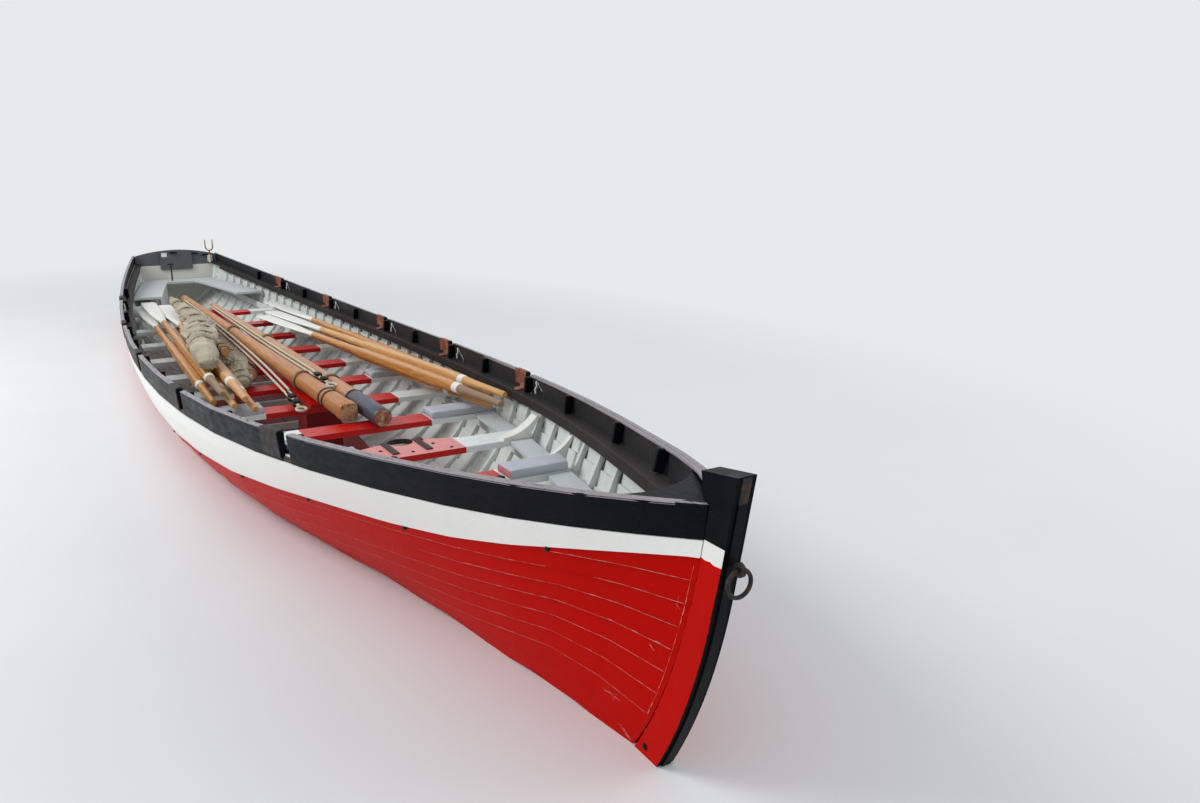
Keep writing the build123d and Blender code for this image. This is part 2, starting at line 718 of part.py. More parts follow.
def knee(i, forward, thickness, length):
    """Knee standing on a thwart's end against the side."""
    x, top = thwart_x(i) + forward - thickness / 2, thwart_top(thwart_x(i)) + PAINT_GAP
    low = side_y(x + thickness, top - THWART_THICKNESS, LINER_INSET + 8)
    high = side_y(x + thickness, top + KNEE_HEIGHT, LINER_INSET + 8)
    head = top + KNEE_HEIGHT
    corners = [Vector(x, low, top), Vector(x, low - length, top), Vector(x, low - length, top + KNEE_TOE),
               Vector(x, high - KNEE_HEAD, head), Vector(x, high, head)]
    throat = Vector(x, low - 0.32 * length, top + 0.36 * KNEE_HEIGHT)
    edges = [Line(corners[0], corners[1]), Line(corners[1], corners[2]),
             ThreePointArc(corners[2], throat, corners[3]), Line(corners[3], corners[4]),
             Line(corners[4], corners[0])]
    return extrude(Face(Wire(edges)), amount=thickness, dir=(1, 0, 0))


def side_shelves():
    """Boards along the port side from the third thwart from the bow to ahead of the first."""
    shelves = []
    for i in range(ROWERS - 3, ROWERS):
        aft = thwart_x(i) + THWART_DEPTH / 2 + THWART_END_GAP
        fore = thwart_x(i + 1) - THWART_DEPTH / 2 - THWART_END_GAP if i < ROWERS - 1 else SHELF_BOW_END
        sections = []
        for x in (aft, fore):
            z = thwart_top(x) - SHELF_DROP - SHELF_THICKNESS / 2
            y = side_y(x, z - SHELF_THICKNESS / 2, LINER_INSET + THWART_END_GAP) - SHELF_WIDTH / 2
            sections.append((x, y, z, SHELF_WIDTH, SHELF_THICKNESS))
        shelves.append(beam(sections))
    return shelves


def breasthook():
    """Flat hook between the wash strakes at the stem, hollowed on its aft edge."""
    side = []
    for x in BREASTHOOK_XS:
        low_inside, _, _, _, top_inside = wash_corners(x)
        share = (BREASTHOOK_Z - low_inside.Z) / (top_inside.Z - low_inside.Z)
        side.append(Vector(x, lerp(low_inside.Y, top_inside.Y, share) - BREASTHOOK_GAP, BREASTHOOK_Z))
    other = [Vector(p.X, -p.Y, p.Z) for p in reversed(side)]
    outline = Polyline(*side, *other)
    hollow = ThreePointArc(other[-1], Vector(side[0].X + BREASTHOOK_HOLLOW, 0, BREASTHOOK_Z), side[0])
    return extrude(Face(Wire([*outline.edges(), hollow])), amount=BREASTHOOK_THICKNESS, dir=(0, 0, 1))


def floorboards():
    """Bottom boards over the ribs, narrowing with the boat."""
    xs = [-3350, -2200, -700, 800, 2000, 2800]
    halves = [side_y(x, FLOOR_Z, LINER_INSET) for x in xs]
    boards = []
    for j in range(-2, 2):
        low_share, high_share = j / 2, (j + 1) / 2
        low = [(x, half * low_share + 4) for x, half in zip(xs, halves)]
        high = [(x, half * high_share - 4) for x, half in zip(xs, halves)]
        boards.append(plate(low + list(reversed(high)), FLOOR_Z, FLOOR_Z + FLOOR_THICKNESS))
    return boards


def foot_stretchers():
    """Bars for the rowers' feet, aft of each thwart but the one over the mast trunk."""
    bars = []
    for i in range(1, ROWERS - 1):
        x = thwart_x(i) - STRETCHER_AFT
        if abs(x - TRUNK_X) > TRUNK_LENGTH:
            half = side_y(x, FLOOR_Z, LINER_INSET) - 12
            z = FLOOR_Z + FLOOR_THICKNESS + STRETCHER_HEIGHT / 2 + 1
            bars.append(block(x, 0, z, STRETCHER_WIDTH, 2 * half, STRETCHER_HEIGHT))
    return bars


def gangboard():
    """Fore-and-aft plank on the thwarts, a little to starboard."""
    sections = []
    for i in range(GANGBOARD_THWARTS):
        z = thwart_top(thwart_x(i)) + GANGBOARD_THICKNESS / 2 + 0.4
        for shift in (-THWART_DEPTH / 2, THWART_DEPTH / 2):
            sections.append((thwart_x(i) + shift, GANGBOARD_Y, z, GANGBOARD_WIDTH, GANGBOARD_THICKNESS))
    return beam(sections)


def mast_trunk():
    """Box that holds the mainmast's heel."""
    low = FLOOR_Z + FLOOR_THICKNESS + PAINT_GAP
    middle = (low + TRUNK_TOP) / 2
    box = block(TRUNK_X, 0, middle, TRUNK_LENGTH, TRUNK_WIDTH, TRUNK_TOP - low)
    inside = 2 * TRUNK_WALL
    return box - block(TRUNK_X, 0, middle + TRUNK_WALL, TRUNK_LENGTH - inside, TRUNK_WIDTH - inside, TRUNK_TOP - low)


def stern_benches():
    """Horseshoe bench round the stern, with a panel under its starboard side."""
    z = BENCH_Z - BENCH_THICKNESS
    outer = [(x, side_y(x, z, LINER_INSET + 4)) for x in BENCH_XS]
    inner = [(x, y - BENCH_WIDTH) for x, y in outer[1:]]
    corner = (STERN_BENCH_EDGE, inner[0][1] - 30)
    port = outer + list(reversed(inner)) + [corner]
    ring = port + [(x, -y) for x, y in reversed(port)]
    seat = plate(ring, z, BENCH_Z)
    panel = [(x, -y - 2) for x, y in inner]
    back = [(x, -y - 18) for x, y in inner]
    front = plate(panel + list(reversed(back)), 90, z - 0.4)
    return [seat, front]


def stern_pin():
    """Iron rod with a cross bar, standing on the stern bench."""
    x, y = STERN_PIN
    rod = Pos(x, y, BENCH_Z + PAINT_GAP + STERN_PIN_HEIGHT / 2) * Cylinder(9, STERN_PIN_HEIGHT)
    bar = Plane(origin=(x, y, BENCH_Z + STERN_PIN_HEIGHT), z_dir=(0, 1, 0)) * Cylinder(11, 70)
    return rod + bar


def crutch_socket():
    """Tube for the crutch's shank on a pad against the transom board."""
    x, y = CRUTCH
    middle, height = (SOCKET_LOW + SOCKET_HIGH) / 2, SOCKET_HIGH - SOCKET_LOW
    body = Pos(x, y, middle) * Cylinder(SOCKET_RADIUS, height) + block(x - 18, y, middle, 36, 60, height - 20)
    body -= Pos(PAINT_GAP, 0, 0) * transom_board()
    return body - Pos(x, y, middle) * Cylinder(CRUTCH_SHANK + CRUTCH_GAP, 2 * height)


def stern_crutch():
    """Two-pronged oar crutch that turns in its socket."""
    x, y = CRUTCH
    shank_high = FORK_Z - FORK_RADIUS
    shank_low = SOCKET_LOW + 16
    shank = Pos(x, y, (shank_low + shank_high) / 2) * Cylinder(CRUTCH_SHANK, shank_high - shank_low)
    collar = Pos(x, y, SOCKET_HIGH + 6.5) * Cylinder(SOCKET_RADIUS - 1, 8)
    hoop = Cylinder(FORK_RADIUS + FORK_BAR, 18) - Cylinder(FORK_RADIUS - FORK_BAR, 18)
    fork = Plane(origin=(x, y, FORK_Z), z_dir=(1, 0, 0)) * hoop
    fork -= block(x, y, FORK_Z + 100, 60, 200, 200)
    for side in (-1, 1):
        fork += Pos(x, y + side * FORK_RADIUS, FORK_Z + 45) * Cone(8, 5, 100)
    return shank + collar + fork


def gate_origin():
    return Vector(thwart_x(MAST_THWART) - MAST_THWART_AFT, 0, thwart_top(thwart_x(MAST_THWART)))


def foremast_gate():
    """Hinged iron clamp that closes the half-round mast hole."""
    origin = gate_origin() + Vector(-GATE_GAP, 0, -THWART_THICKNESS / 2)
    radius = FOREMAST_HOLE_RADIUS + 2
    ring = Cylinder(radius + 10, GATE_HEIGHT) - Cylinder(radius, GATE_HEIGHT)
    ring -= Pos(100, 0, 0) * Box(200, 200, 100)
    for side in (-1, 1):
        ring += Pos(-5, side * (radius + 26), 0) * Box(10, 46, GATE_HEIGHT)
    knuckle = Pos(-5, GATE_PIVOT, 0) * Cylinder(12, GATE_HEIGHT)
    gate = ring + knuckle - Pos(-5, GATE_PIVOT, 0) * Cylinder(GATE_PIN + GATE_PIN_GAP, 100)
    return Pos(*origin) * gate


def mast_straps():
    """Iron straps on the mast thwart, the port one carrying the gate's hinge pin."""
    origin = gate_origin()
    z = origin.Z + PAINT_GAP + STRAP_THICKNESS / 2
    middle = origin.X + STRAP_LENGTH / 2 - 10
    straps = [block(middle, side * STRAP_Y, z, STRAP_LENGTH, STRAP_WIDTH, STRAP_THICKNESS) for side in (-1, 1)]
    tab = block(origin.X - 10, GATE_PIVOT, z, 44, 26, STRAP_THICKNESS)
    pin_low, pin_high = origin.Z - THWART_THICKNESS - 4, origin.Z + STRAP_THICKNESS
    pin = Pos(origin.X - GATE_GAP - 5, GATE_PIVOT, (pin_low + pin_high) / 2) * Cylinder(GATE_PIN, pin_high - pin_low)
    straps[1] = straps[1] + tab + pin
    return straps


if __name__ == "__main__":
    os.makedirs("parts", exist_ok=True)
    planks = strakes()
    for k in range(RED_STRAKES):
        save(f"strake_{k + 1:02d}", mirrored([planks[k]]))
    save("sheer_strake", mirrored([planks[RED_STRAKES]]))
    wash = planks[RED_STRAKES + 1]
    save("wash_strake_port", wash_panels(wash, 0))
    save("wash_strake_starboard", [p.mirror(Plane.XZ) for p in wash_panels(wash, 1)])
    save("keel", [keel()])
    save("stem", [stem()])
    save("ribs", ribs())
    save("inwales", mirrored([side_rail(INWALE_WIDTH, INWALE_HEIGHT, INWALE_BELOW_SHEER, 0.5, STEM - 1)]))
    for i in range(ROWERS):
        save(f"thwart_{i + 1:02d}", [thwart(i)])
    for name, rows in OARS.items():
        save(name, oar_group(rows))
    save("transom", [transom()])
    save("transom_board", [transom_board()])
    save("transom_backboard", [transom_backboard()])
    save("sternpost", [sternpost()])
    save("rudder_gudgeons", [gudgeon(z) for z in GUDGEON_HEIGHTS])
    save("stem_band", [stem_band()])
    save("ring_eye", [ring_eye()])
    save("mooring_ring", [mooring_ring()])
    save("wash_posts", wash_posts(0) + [p.mirror(Plane.XZ) for p in wash_posts(1)])
    save("oar_leathers", [leather(i) if i % 2 == 0 else leather(i).mirror(Plane.XZ) for i in range(ROWERS)])
    save("risers", mirrored([side_rail(RISER_WIDTH, RISER_HEIGHT, RISER_BELOW_SHEER, 1, 9)]))
    save("thwart_pads", [thwart_pad(i, 1) for i in PORT_PADS] + [thwart_pad(i, -1) for i in STARBOARD_PADS])
    save("thwart_knees", mirrored([knee(*row) for row in KNEES]))
    save("breasthook", [breasthook()])
    save("side_shelves", mirrored(side_shelves()))
    save("floorboards", floorboards())
    save("foot_stretchers", foot_stretchers())
    save("gangboard", [gangboard()])
    save("mast_trunk", [mast_trunk()])
    save("stern_benches", stern_benches())
    save("stern_pin", [stern_pin()])
    save("crutch_socket", [crutch_socket()])
    save("stern_crutch", [stern_crutch()])
    save("foremast_gate", [foremast_gate()])
    save("mast_straps", mast_straps())
    save("foremast", [spar(*FOREMAST)])
    save("mainmast", [spar(*MAINMAST)])
    save("yards", [spar(*yard) for yard in YARDS])
    save("furled_sails", furled_sails())
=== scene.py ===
import math
import bpy
import bmesh
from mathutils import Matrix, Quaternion, Vector, noise


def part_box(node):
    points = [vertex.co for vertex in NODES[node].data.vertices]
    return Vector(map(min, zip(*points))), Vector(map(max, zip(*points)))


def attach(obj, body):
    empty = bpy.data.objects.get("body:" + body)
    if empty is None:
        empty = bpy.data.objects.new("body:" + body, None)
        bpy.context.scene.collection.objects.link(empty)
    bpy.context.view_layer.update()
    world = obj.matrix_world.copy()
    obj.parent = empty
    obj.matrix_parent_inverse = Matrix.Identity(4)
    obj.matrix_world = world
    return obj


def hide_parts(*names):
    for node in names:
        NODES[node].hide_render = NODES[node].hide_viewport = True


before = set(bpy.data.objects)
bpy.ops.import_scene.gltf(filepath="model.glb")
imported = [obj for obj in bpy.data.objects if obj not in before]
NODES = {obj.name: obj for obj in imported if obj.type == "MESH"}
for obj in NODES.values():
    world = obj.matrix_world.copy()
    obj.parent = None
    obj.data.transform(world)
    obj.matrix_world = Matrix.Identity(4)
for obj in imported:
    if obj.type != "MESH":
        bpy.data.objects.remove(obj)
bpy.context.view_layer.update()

# Looks of a ten-oared clinker longboat, in metres, with the waterline at height zero.
# Shapes are worked out for the port side, and side is 1 for port and -1 for starboard.

# The photograph's view, angles in degrees
CAMERA_PLACE = (7.578, -1.504, 1.829)
CAMERA_YAW = 149.29
CAMERA_PITCH = -13.96
CAMERA_ROLL = 0.09
CAMERA_LENS = 28.02
CAMERA_SENSOR = 36

# Hull stations, as in the part's source
# foot_x, sheer_x, foot_z, floor_y, floor_z, bilge_y, bilge_z, sheer_y, sheer_z, wash_y, wash_z
RABBET_Z = -0.235
STATIONS = [
    (-5.690, -5.800, 0.0, 0.042, 0.150, 0.500, 0.130, 0.493, 0.612, 0.506, 0.740),
    (-4.960, -5.000, -0.165, 0.110, -0.110, 0.560, -0.040, 0.617, 0.562, 0.629, 0.692),
    (-4.000, -4.000, -0.222, 0.250, -0.190, 0.690, -0.060, 0.748, 0.513, 0.760, 0.643),
    (-2.800, -2.800, RABBET_Z, 0.370, -0.215, 0.830, -0.040, 0.870, 0.470, 0.882, 0.600),
    (-1.400, -1.400, RABBET_Z, 0.470, -0.210, 0.925, -0.020, 0.968, 0.443, 0.980, 0.573),
    (0.0, 0.0, RABBET_Z, 0.530, -0.205, 0.970, -0.020, 1.008, 0.445, 1.020, 0.575),
    (1.400, 1.400, RABBET_Z, 0.490, -0.200, 0.935, -0.010, 0.980, 0.478, 0.992, 0.610),
    (2.650, 2.700, RABBET_Z, 0.330, -0.190, 0.750, 0.010, 0.865, 0.540, 0.877, 0.670),
    (3.650, 3.800, RABBET_Z, 0.150, -0.190, 0.430, 0.060, 0.667, 0.624, 0.678, 0.754),
    (4.350, 4.700, RABBET_Z, 0.090, -0.190, 0.240, 0.100, 0.418, 0.708, 0.430, 0.840),
    (4.700, 5.250, RABBET_Z, 0.060, -0.190, 0.150, 0.120, 0.222, 0.778, 0.233, 0.905),
]
STEM_RABBET = [(4.907, RABBET_Z), (5.320, RABBET_Z), (5.570, 0.400), (5.660, 0.840), (5.672, 0.942)]
STEM_FRONT = [(4.907, -0.330), (5.310, -0.175), (5.452, 0.0), (5.633, 0.378), (5.725, 0.705), (5.796, 1.058)]
RABBET_HALF = 0.032
STEM_EDGE = 0.003
RED_STRAKES = 11
SHEER_SEAM = 12
WASH_SEAM = 13

# Rowing stations, as in the part's source
ROWERS = 10
ROOM = 0.771
FIRST_NOTCH = -3.328
NOTCH_WIDTH = 0.088
THWART_FROM_NOTCH = 0.318
THWART_BELOW_WASH = 0.265
MAST_THWART = 8
RED_HALF_LENGTHS = [0.360, 0.430, 0.470, 0.505, 0.510, 0.480, 0.425, 0.368, 0.265, 0.150]
NOTCH_SIDES = [1 if i % 2 == 0 else -1 for i in range(ROWERS)]

# Timbers inside
FIRST_RIB = -5.270
LAST_RIB = 4.720
RIB_SPACING = ROOM / 3
RIB_WIDTH = 0.032
RIB_OUTER, RIB_INNER = 0.018, 0.052
HOG_HEIGHT, HOG_HALF = 0.034, 0.011
INWALE_INSET = 0.060
INWALE_WIDTH = 0.026
INWALE_OVER_SHEER = 0.008
WASH_THICKNESS = 0.024
COVER_TOP = 0.0345
COVER_DEPTH = 0.016
POST_DEPTH = 0.042
POST_WIDTH = 0.030
CAP_TOP = 0.0045
CAP_WIDTHS = (0.026, 0.040)
TRANSOM_THICKNESS = 0.030

# White boards of the sheer strakes: how far they stand out and sink in, and the seam number of their top
SHEER_PROUD = 0.0022
SHEER_SUNK = 0.010
SHEER_TOP = 11.95

# Domed heads: radius and height
INWALE_BOLT = (0.0075, 0.004)
THWART_BOLT = (0.010, 0.004)
SIDE_EYE = (0.0105, 0.010)
# The bow's hole is a flat black disc of painted shade, not a recess
BOW_HOLE_SHADE = (0.013, 0.002)
BOW_HOLE_SHADE_PLACE = (5.385, 0.0335, 0.035)

# Small things at the notches and on the thwarts
LEATHER_FOOT = 0.085
LANYARD_AHEAD = 0.175
PAD_PROFILE = [(0.0, 0.03), (0.06, 0.0), (0.5, -0.008), (0.92, 0.0), (0.98, 0.02), (1.0, 0.055)]
PAD_ROUNDING = 0.16

# Spars, as in the part's source: butt, tip, butt and tip radii
FOREMAST = (Vector((2.300, -0.070, 0.451)), Vector((-3.922, -0.163, 0.401)), 0.062, 0.036)
MAINMAST = (Vector((2.520, 0.062, 0.451)), Vector((-3.127, 0.020, 0.404)), 0.058, 0.034)
YARDS = [
    (Vector((0.560, -0.452, 0.557)), Vector((-3.000, -0.395, 0.520)), 0.030, 0.022),
    (Vector((0.740, -0.320, 0.405)), Vector((-1.800, -0.282, 0.385)), 0.032, 0.024),
]
PAINTED_BUTT = 1.99
# Masts' heels: distance, share of the butt radius and roundness, with a tenon on the foremast
TENON_HEEL = [(0.0, 0.80, 0.35), (0.006, 0.86, 0.35), (0.09, 0.88, 0.4), (0.13, 0.98, 1.0)]
PLAIN_HEEL = [(0.0, 0.86, 1.0), (0.012, 0.96, 1.0), (0.13, 0.99, 1.0)]
# Iron bands by their distance from the butt, and rope by its distance and number of turns
BAND_PLACES = [(FOREMAST, 0.44), (FOREMAST, 0.36), (MAINMAST, 0.55)]
ROPE_TURNS = [(FOREMAST, 1.02, 2), (MAINMAST, 1.06, 2), (FOREMAST, 3.4, 3), (MAINMAST, 3.0, 3)]

# Furled sails: x, y, z, width and height of each roll's sections from the fore end
SAILS = [
    [(1.060, -0.640, 0.572, 0.090, 0.070), (0.850, -0.620, 0.585, 0.180, 0.125),
     (0.350, -0.575, 0.584, 0.200, 0.135), (-0.300, -0.500, 0.576, 0.250, 0.130),
     (-1.000, -0.425, 0.553, 0.220, 0.120), (-1.900, -0.400, 0.530, 0.150, 0.100),
     (-2.850, -0.397, 0.518, 0.080, 0.072)],
    [(0.950, -0.425, 0.395, 0.060, 0.060), (0.820, -0.395, 0.391, 0.130, 0.105),
     (0.450, -0.352, 0.383, 0.185, 0.130), (-0.300, -0.305, 0.376, 0.180, 0.130),
     (-1.200, -0.287, 0.374, 0.150, 0.125), (-1.700, -0.283, 0.380, 0.090, 0.090)],
]
# Shares of each roll's length where it is tied, and where its cloth lies taut from and to
SAIL_TIES = [(0.34, 0.42, 0.50, 0.58, 0.70, 0.82, 0.92), (0.16, 0.30, 0.44, 0.58, 0.75)]
SAIL_TAUT = [(0.03, 0.30), (0.02, 0.16)]

# Oars: x, y and height over the thwarts of the handle's end, then y and height of the blade's
OARS = {
    "oars_port": [
        (2.670, 0.655, 0.078, 0.425, 0.012),
        (2.400, 0.790, 0.078, 0.545, 0.012),
        (1.800, 0.845, 0.078, 0.660, 0.012),
        (2.960, 0.600, 0.137, 0.355, 0.062),
        (2.717, 0.735, 0.140, 0.485, 0.062),
    ],
    "oars_starboard": [
        (1.560, -0.700, 0.078, -0.640, 0.012),
        (1.760, -0.610, 0.078, -0.510, 0.012),
        (1.930, -0.520, 0.078, -0.385, 0.012),
        (1.650, -0.655, 0.140, -0.575, 0.062),
        (1.880, -0.565, 0.140, -0.447, 0.062),
    ],
}
OAR_LENGTH = 5.200
# Distance from the handle's end, width, height and roundness from 0, square, to 1, round
OAR_SECTIONS = [
    (0.000, 0.034, 0.034, 1.0),
    (0.012, 0.038, 0.038, 1.0),
    (0.200, 0.043, 0.043, 1.0),
    (0.430, 0.050, 0.050, 1.0),
    (0.540, 0.057, 0.057, 1.0),
    (0.600, 0.060, 0.060, 0.9),
    (0.700, 0.061, 0.061, 0.35),
    (0.820, 0.062, 0.062, 0.25),
    (1.500, 0.062, 0.062, 0.25),
    (2.250, 0.062, 0.062, 0.3),
    (2.420, 0.058, 0.058, 1.0),
    (3.000, 0.053, 0.053, 1.0),
    (3.460, 0.050, 0.050, 1.0),
    (3.620, 0.064, 0.034, 0.9),
    (3.800, 0.088, 0.025, 0.8),
    (4.150, 0.128, 0.018, 0.8),
    (4.800, 0.146, 0.014, 0.7),
    (5.150, 0.148, 0.012, 0.7),
    (5.194, 0.136, 0.010, 0.7),
]
# From and to along an oar: handle, varnished wood, white blade
OAR_ZONES = [(0.0, 0.54), (0.54, 3.48), (3.48, 5.194)]
OAR_COLLAR = [(0.535, 0.058), (0.54, 0.063), (0.60, 0.066), (0.605, 0.062)]
# Oars by their number on each side
PALE_OARS = (1, 4)
WEATHERED_HANDLE = 3

# Lines laid along the masts, and their blocks: place and direction
HALYARDS = [
    [(-3.60, -0.205, 0.425), (-2.2, -0.205, 0.448), (-0.8, -0.205, 0.462), (0.5, -0.215, 0.462),
     (1.42, -0.215, 0.425)],
    [(-3.55, -0.220, 0.405), (-2.2, -0.222, 0.428), (-0.8, -0.225, 0.440), (0.5, -0.238, 0.440),
     (1.42, -0.240, 0.408)],
    [(-2.90, -0.040, 0.425), (-1.4, -0.045, 0.450), (0.0, -0.045, 0.470), (1.30, -0.035, 0.492)],
    [(-2.85, -0.022, 0.440), (-1.4, -0.025, 0.465), (0.0, -0.024, 0.485), (1.30, -0.010, 0.505)],
]
BLOCKS = [((1.55, -0.228, 0.402), (1.0, -0.02, -0.06)), ((1.42, -0.022, 0.498), (1.0, 0.06, -0.04))]
BLOCK_LENGTH, BLOCK_WIDTH, SHEAVE = 0.095, 0.052, 0.044
# Distance from a block's middle and share of its size, through the thickness of a cheek
BLOCK_CHEEK = [(0.008, 0.96), (0.010, 1.0), (0.017, 0.97), (0.020, 0.8)]

# Radii of ropes and cords
HALYARD_RADIUS = 0.0080
SPLICE_RADIUS = 0.0085
SERVING_RADIUS = 0.011
TAIL_RADIUS = 0.0065
LASHING_RADIUS = 0.0055
YARD_ROPE_RADIUS = 0.006
MAST_ROPE_RADIUS = 0.007
LANYARD_RADIUS = 0.0055
WHIPPING_RADIUS = 0.0016

# Scuffs low on the bow: seam number and station number where each starts and ends
SCUFFS = [
    ((2.75, 10.80), (2.68, 10.93)), ((2.66, 10.84), (2.60, 10.98)), ((2.58, 10.90), (2.55, 10.98)),
    ((3.85, 10.60), (3.45, 10.70)), ((3.80, 10.70), (3.55, 10.58)), ((3.62, 10.56), (3.66, 10.76)),
    ((9.30, 10.91), (8.50, 10.92)), ((8.90, 10.90), (8.75, 10.94)), ((6.80, 10.80), (6.60, 10.85)),
]

X, Y, Z = Vector((1, 0, 0)), Vector((0, 1, 0)), Vector((0, 0, 1))


# Numbers and curves

def lerp(a, b, share):
    return a + (b - a) * share


def ease(value, low, high):
    """0 below low, 1 above high, and a soft rise between them."""
    share = min(max((value - low) / (high - low), 0.0), 1.0)
    return share * share * (3 - 2 * share)


def spline(before, a, b, after, f):
    """Value from a to b on a smooth curve through all four, for numbers or vectors."""
    bend = 2 * before - 5 * a + 4 * b - after + f * (3 * (a - b) + after - before)
    return a + 0.5 * f * (b - before + f * bend)


def smooth_path(points, per_span=8):
    """Points of a smooth curve through a short list."""
    points = [Vector(p) for p in points]
    padded = points[:1] + points + points[-1:]
    path = [spline(*padded[i:i + 4], j / per_span) for i in range(len(points) - 1) for j in range(per_span)]
    return path + [points[-1]]


def solve(value, low, high):
    """Where a rising function of one number passes zero."""
    for _ in range(24):
        middle = (low + high) / 2
        if value(middle) < 0:
            low = middle
        else:
            high = middle
    return (low + high) / 2


def spaced(start, end, spacing):
    """Places from start up to end, a spacing apart."""
    return [start + spacing * i for i in range(int((end - start) / spacing) + 1)]


def circle(count):
    """Angles round a full turn, in equal steps."""
    return [2 * math.pi * i / count for i in range(count)]


def on_side(point, side):
    """A port point as it is, or mirrored for starboard."""
    x, y, z = point
    return Vector((x, y * side, z))


# Hull

def station_guides(row):
    """A station's guide points from foot to wash strake, as one list of numbers."""
    foot_x, sheer_x, foot_z, *rest = row
    points = [(RABBET_HALF, foot_z), *zip(rest[::2], rest[1::2])]
    slope = (sheer_x - foot_x) / (points[3][1] - foot_z)
    return [n for y, z in points for n in (foot_x + slope * (z - foot_z), y, z)]


GUIDES = [station_guides(row) for row in STATIONS]
GUIDES.append([n for x, z in STEM_RABBET for n in (x, RABBET_HALF, z)])
COLUMNS = [list(column) for column in zip(*GUIDES)]
STEM = len(GUIDES) - 1


def blend(s, values):
    """Value at station number s on a smooth curve through one value a station."""
    i = min(max(int(s), 0), len(values) - 2)
    a, b = values[i], values[i + 1]
    before = values[i - 1] if i > 0 else 2 * a - b
    after = values[i + 2] if i + 2 < len(values) else 2 * b - a
    return spline(before, a, b, after, s - i)


def guides_at(s):
    numbers = [blend(s, column) for column in COLUMNS]
    return [Vector(numbers[i:i + 3]) for i in range(0, 15, 3)]


def bezier(points, t):
    weights = ((1 - t)**3, 3 * t * (1 - t)**2, 3 * t**2 * (1 - t), t**3)
    return sum((p * w for w, p in zip(weights, points)), Vector())


def moulded(points, share):
    """The point at a share of the girth from foot to sheer."""
    steps = 48
    line = [bezier(points, i / steps) for i in range(steps + 1)]
    lengths = [(line[i + 1] - line[i]).length for i in range(steps)]
    wanted = share * sum(lengths)
    for i, length in enumerate(lengths):
        if wanted <= length or i == steps - 1:
            return line[i].lerp(line[i + 1], wanted / length)
        wanted -= length


def seam_share(k, s):
    """Share of the girth at which seam k runs at station number s."""
    bow = max(0.0, (s - 6) / (STEM - 6))
    top = lerp(0.921, 0.961, bow)
    return top * (k / RED_STRAKES)**lerp(1.0, 0.68, bow) if k <= RED_STRAKES else 1.0


def seams_at(s):
    """Outer lower corners of all strakes at station s, then the wash strake's top."""
    points = guides_at(s)
    return [moulded(points, seam_share(k, s)) for k in range(RED_STRAKES + 2)] + [points[4]]


SEAMS = [seams_at(s / 2) for s in range(2 * STEM + 1)]


def seam_point(k, s):
    """A point of seam k on the ruled planking, at station number s."""
    i = min(int(2 * s), 2 * STEM - 1)
    return SEAMS[i][k].lerp(SEAMS[i + 1][k], 2 * s - i)


def seam_at_x(k, x):
    return seam_point(k, solve(lambda s: seam_point(k, s).x - x, 0.0, float(STEM)))


def at_x(x, share):
    """A point of the section line at x, by its curve parameter from the foot, 0, to the sheer, 1."""
    s = solve(lambda s: bezier(guides_at(s), share).x - x, 0.0, float(STEM))
    return bezier(guides_at(s), share)


def side_y(x, z, inset=0.0):
    """Half-breadth at x and height z, less an inset."""
    t = solve(lambda t: at_x(x, t).z - z, 0.0, 1.0)
    return at_x(x, t).y - inset


def between_seams(k, s):
    """A point of the planking between two seams, for a seam number with a fraction."""
    low = min(int(k), SHEER_SEAM)
    return seam_point(low, s).lerp(seam_point(low + 1, s), k - low)


def outward(ahead, rise):
    """Unit vector square to both, to port."""
    out = ahead.cross(rise).normalized()
    return out if out.y > 0 else -out


def outward_at(k, s):
    """Unit vector out of the port planking at seam number k and station number s."""
    rise = between_seams(k + 0.4, s) - between_seams(k - 0.4, s)
    ahead = between_seams(k, min(s + 0.05, STEM)) - between_seams(k, max(s - 0.05, 0.0))
    return outward(ahead, rise)


def inward_along(line, i):
    """Unit vector into the boat, square to a section line at its point i."""
    along = (line[min(i + 1, len(line) - 1)] - line[max(i - 1, 0)]).normalized()
    return Vector((0, -along.z, along.y))


def sheer_edge(s):
    """Seam number where the white sheer strake's lower edge lies at station number s."""
    return lerp(9.5, 11.05, ease(s, 8.3, STEM + 0.4))


def wash_line(x, side=1):
    """Lower and upper inner points of the wash strake at x."""
    corners = [seam_at_x(seam, x) for seam in (SHEER_SEAM, WASH_SEAM)]
    return [on_side((x, p.y - WASH_THICKNESS, p.z), side) for p in corners]


def wash_at(x, share):
    """Inner point of the port wash strake at a share of its height."""
    low, high = wash_line(x)
    return low.lerp(high, share)


def cover_edge(x):
    """Where the covering board's top meets the port wash strake."""
    low, high = wash_line(x)
    return low.lerp(high, COVER_TOP / (high.z - low.z))


def inwale_corner(x):
    """Upper corner of the inwale's inner face on the port side."""
    sheer = at_x(x, 1.0)
    y = side_y(x, sheer.z - 0.016, INWALE_INSET)
    return Vector((x, y - INWALE_WIDTH, sheer.z + INWALE_OVER_SHEER))


def transom_front(z):
    """x of the transom's forward face at height z."""
    foot_x, sheer_x, foot_z, sheer_z = (STATIONS[0][i] for i in (0, 1, 2, 8))
    return foot_x + (sheer_x - foot_x) * (z - foot_z) / (sheer_z - foot_z) + TRANSOM_THICKNESS


def notch_x(i):
    return FIRST_NOTCH + ROOM * i


def notches(side):
    """Places of the notches on one side."""
    return [notch_x(i) for i in range(ROWERS) if NOTCH_SIDES[i] == side]


def thwart_x(i):
    return notch_x(i) + THWART_FROM_NOTCH


def thwart_top(x):
    return seam_at_x(WASH_SEAM, x).z - THWART_BELOW_WASH


# Materials

MATERIALS = {}


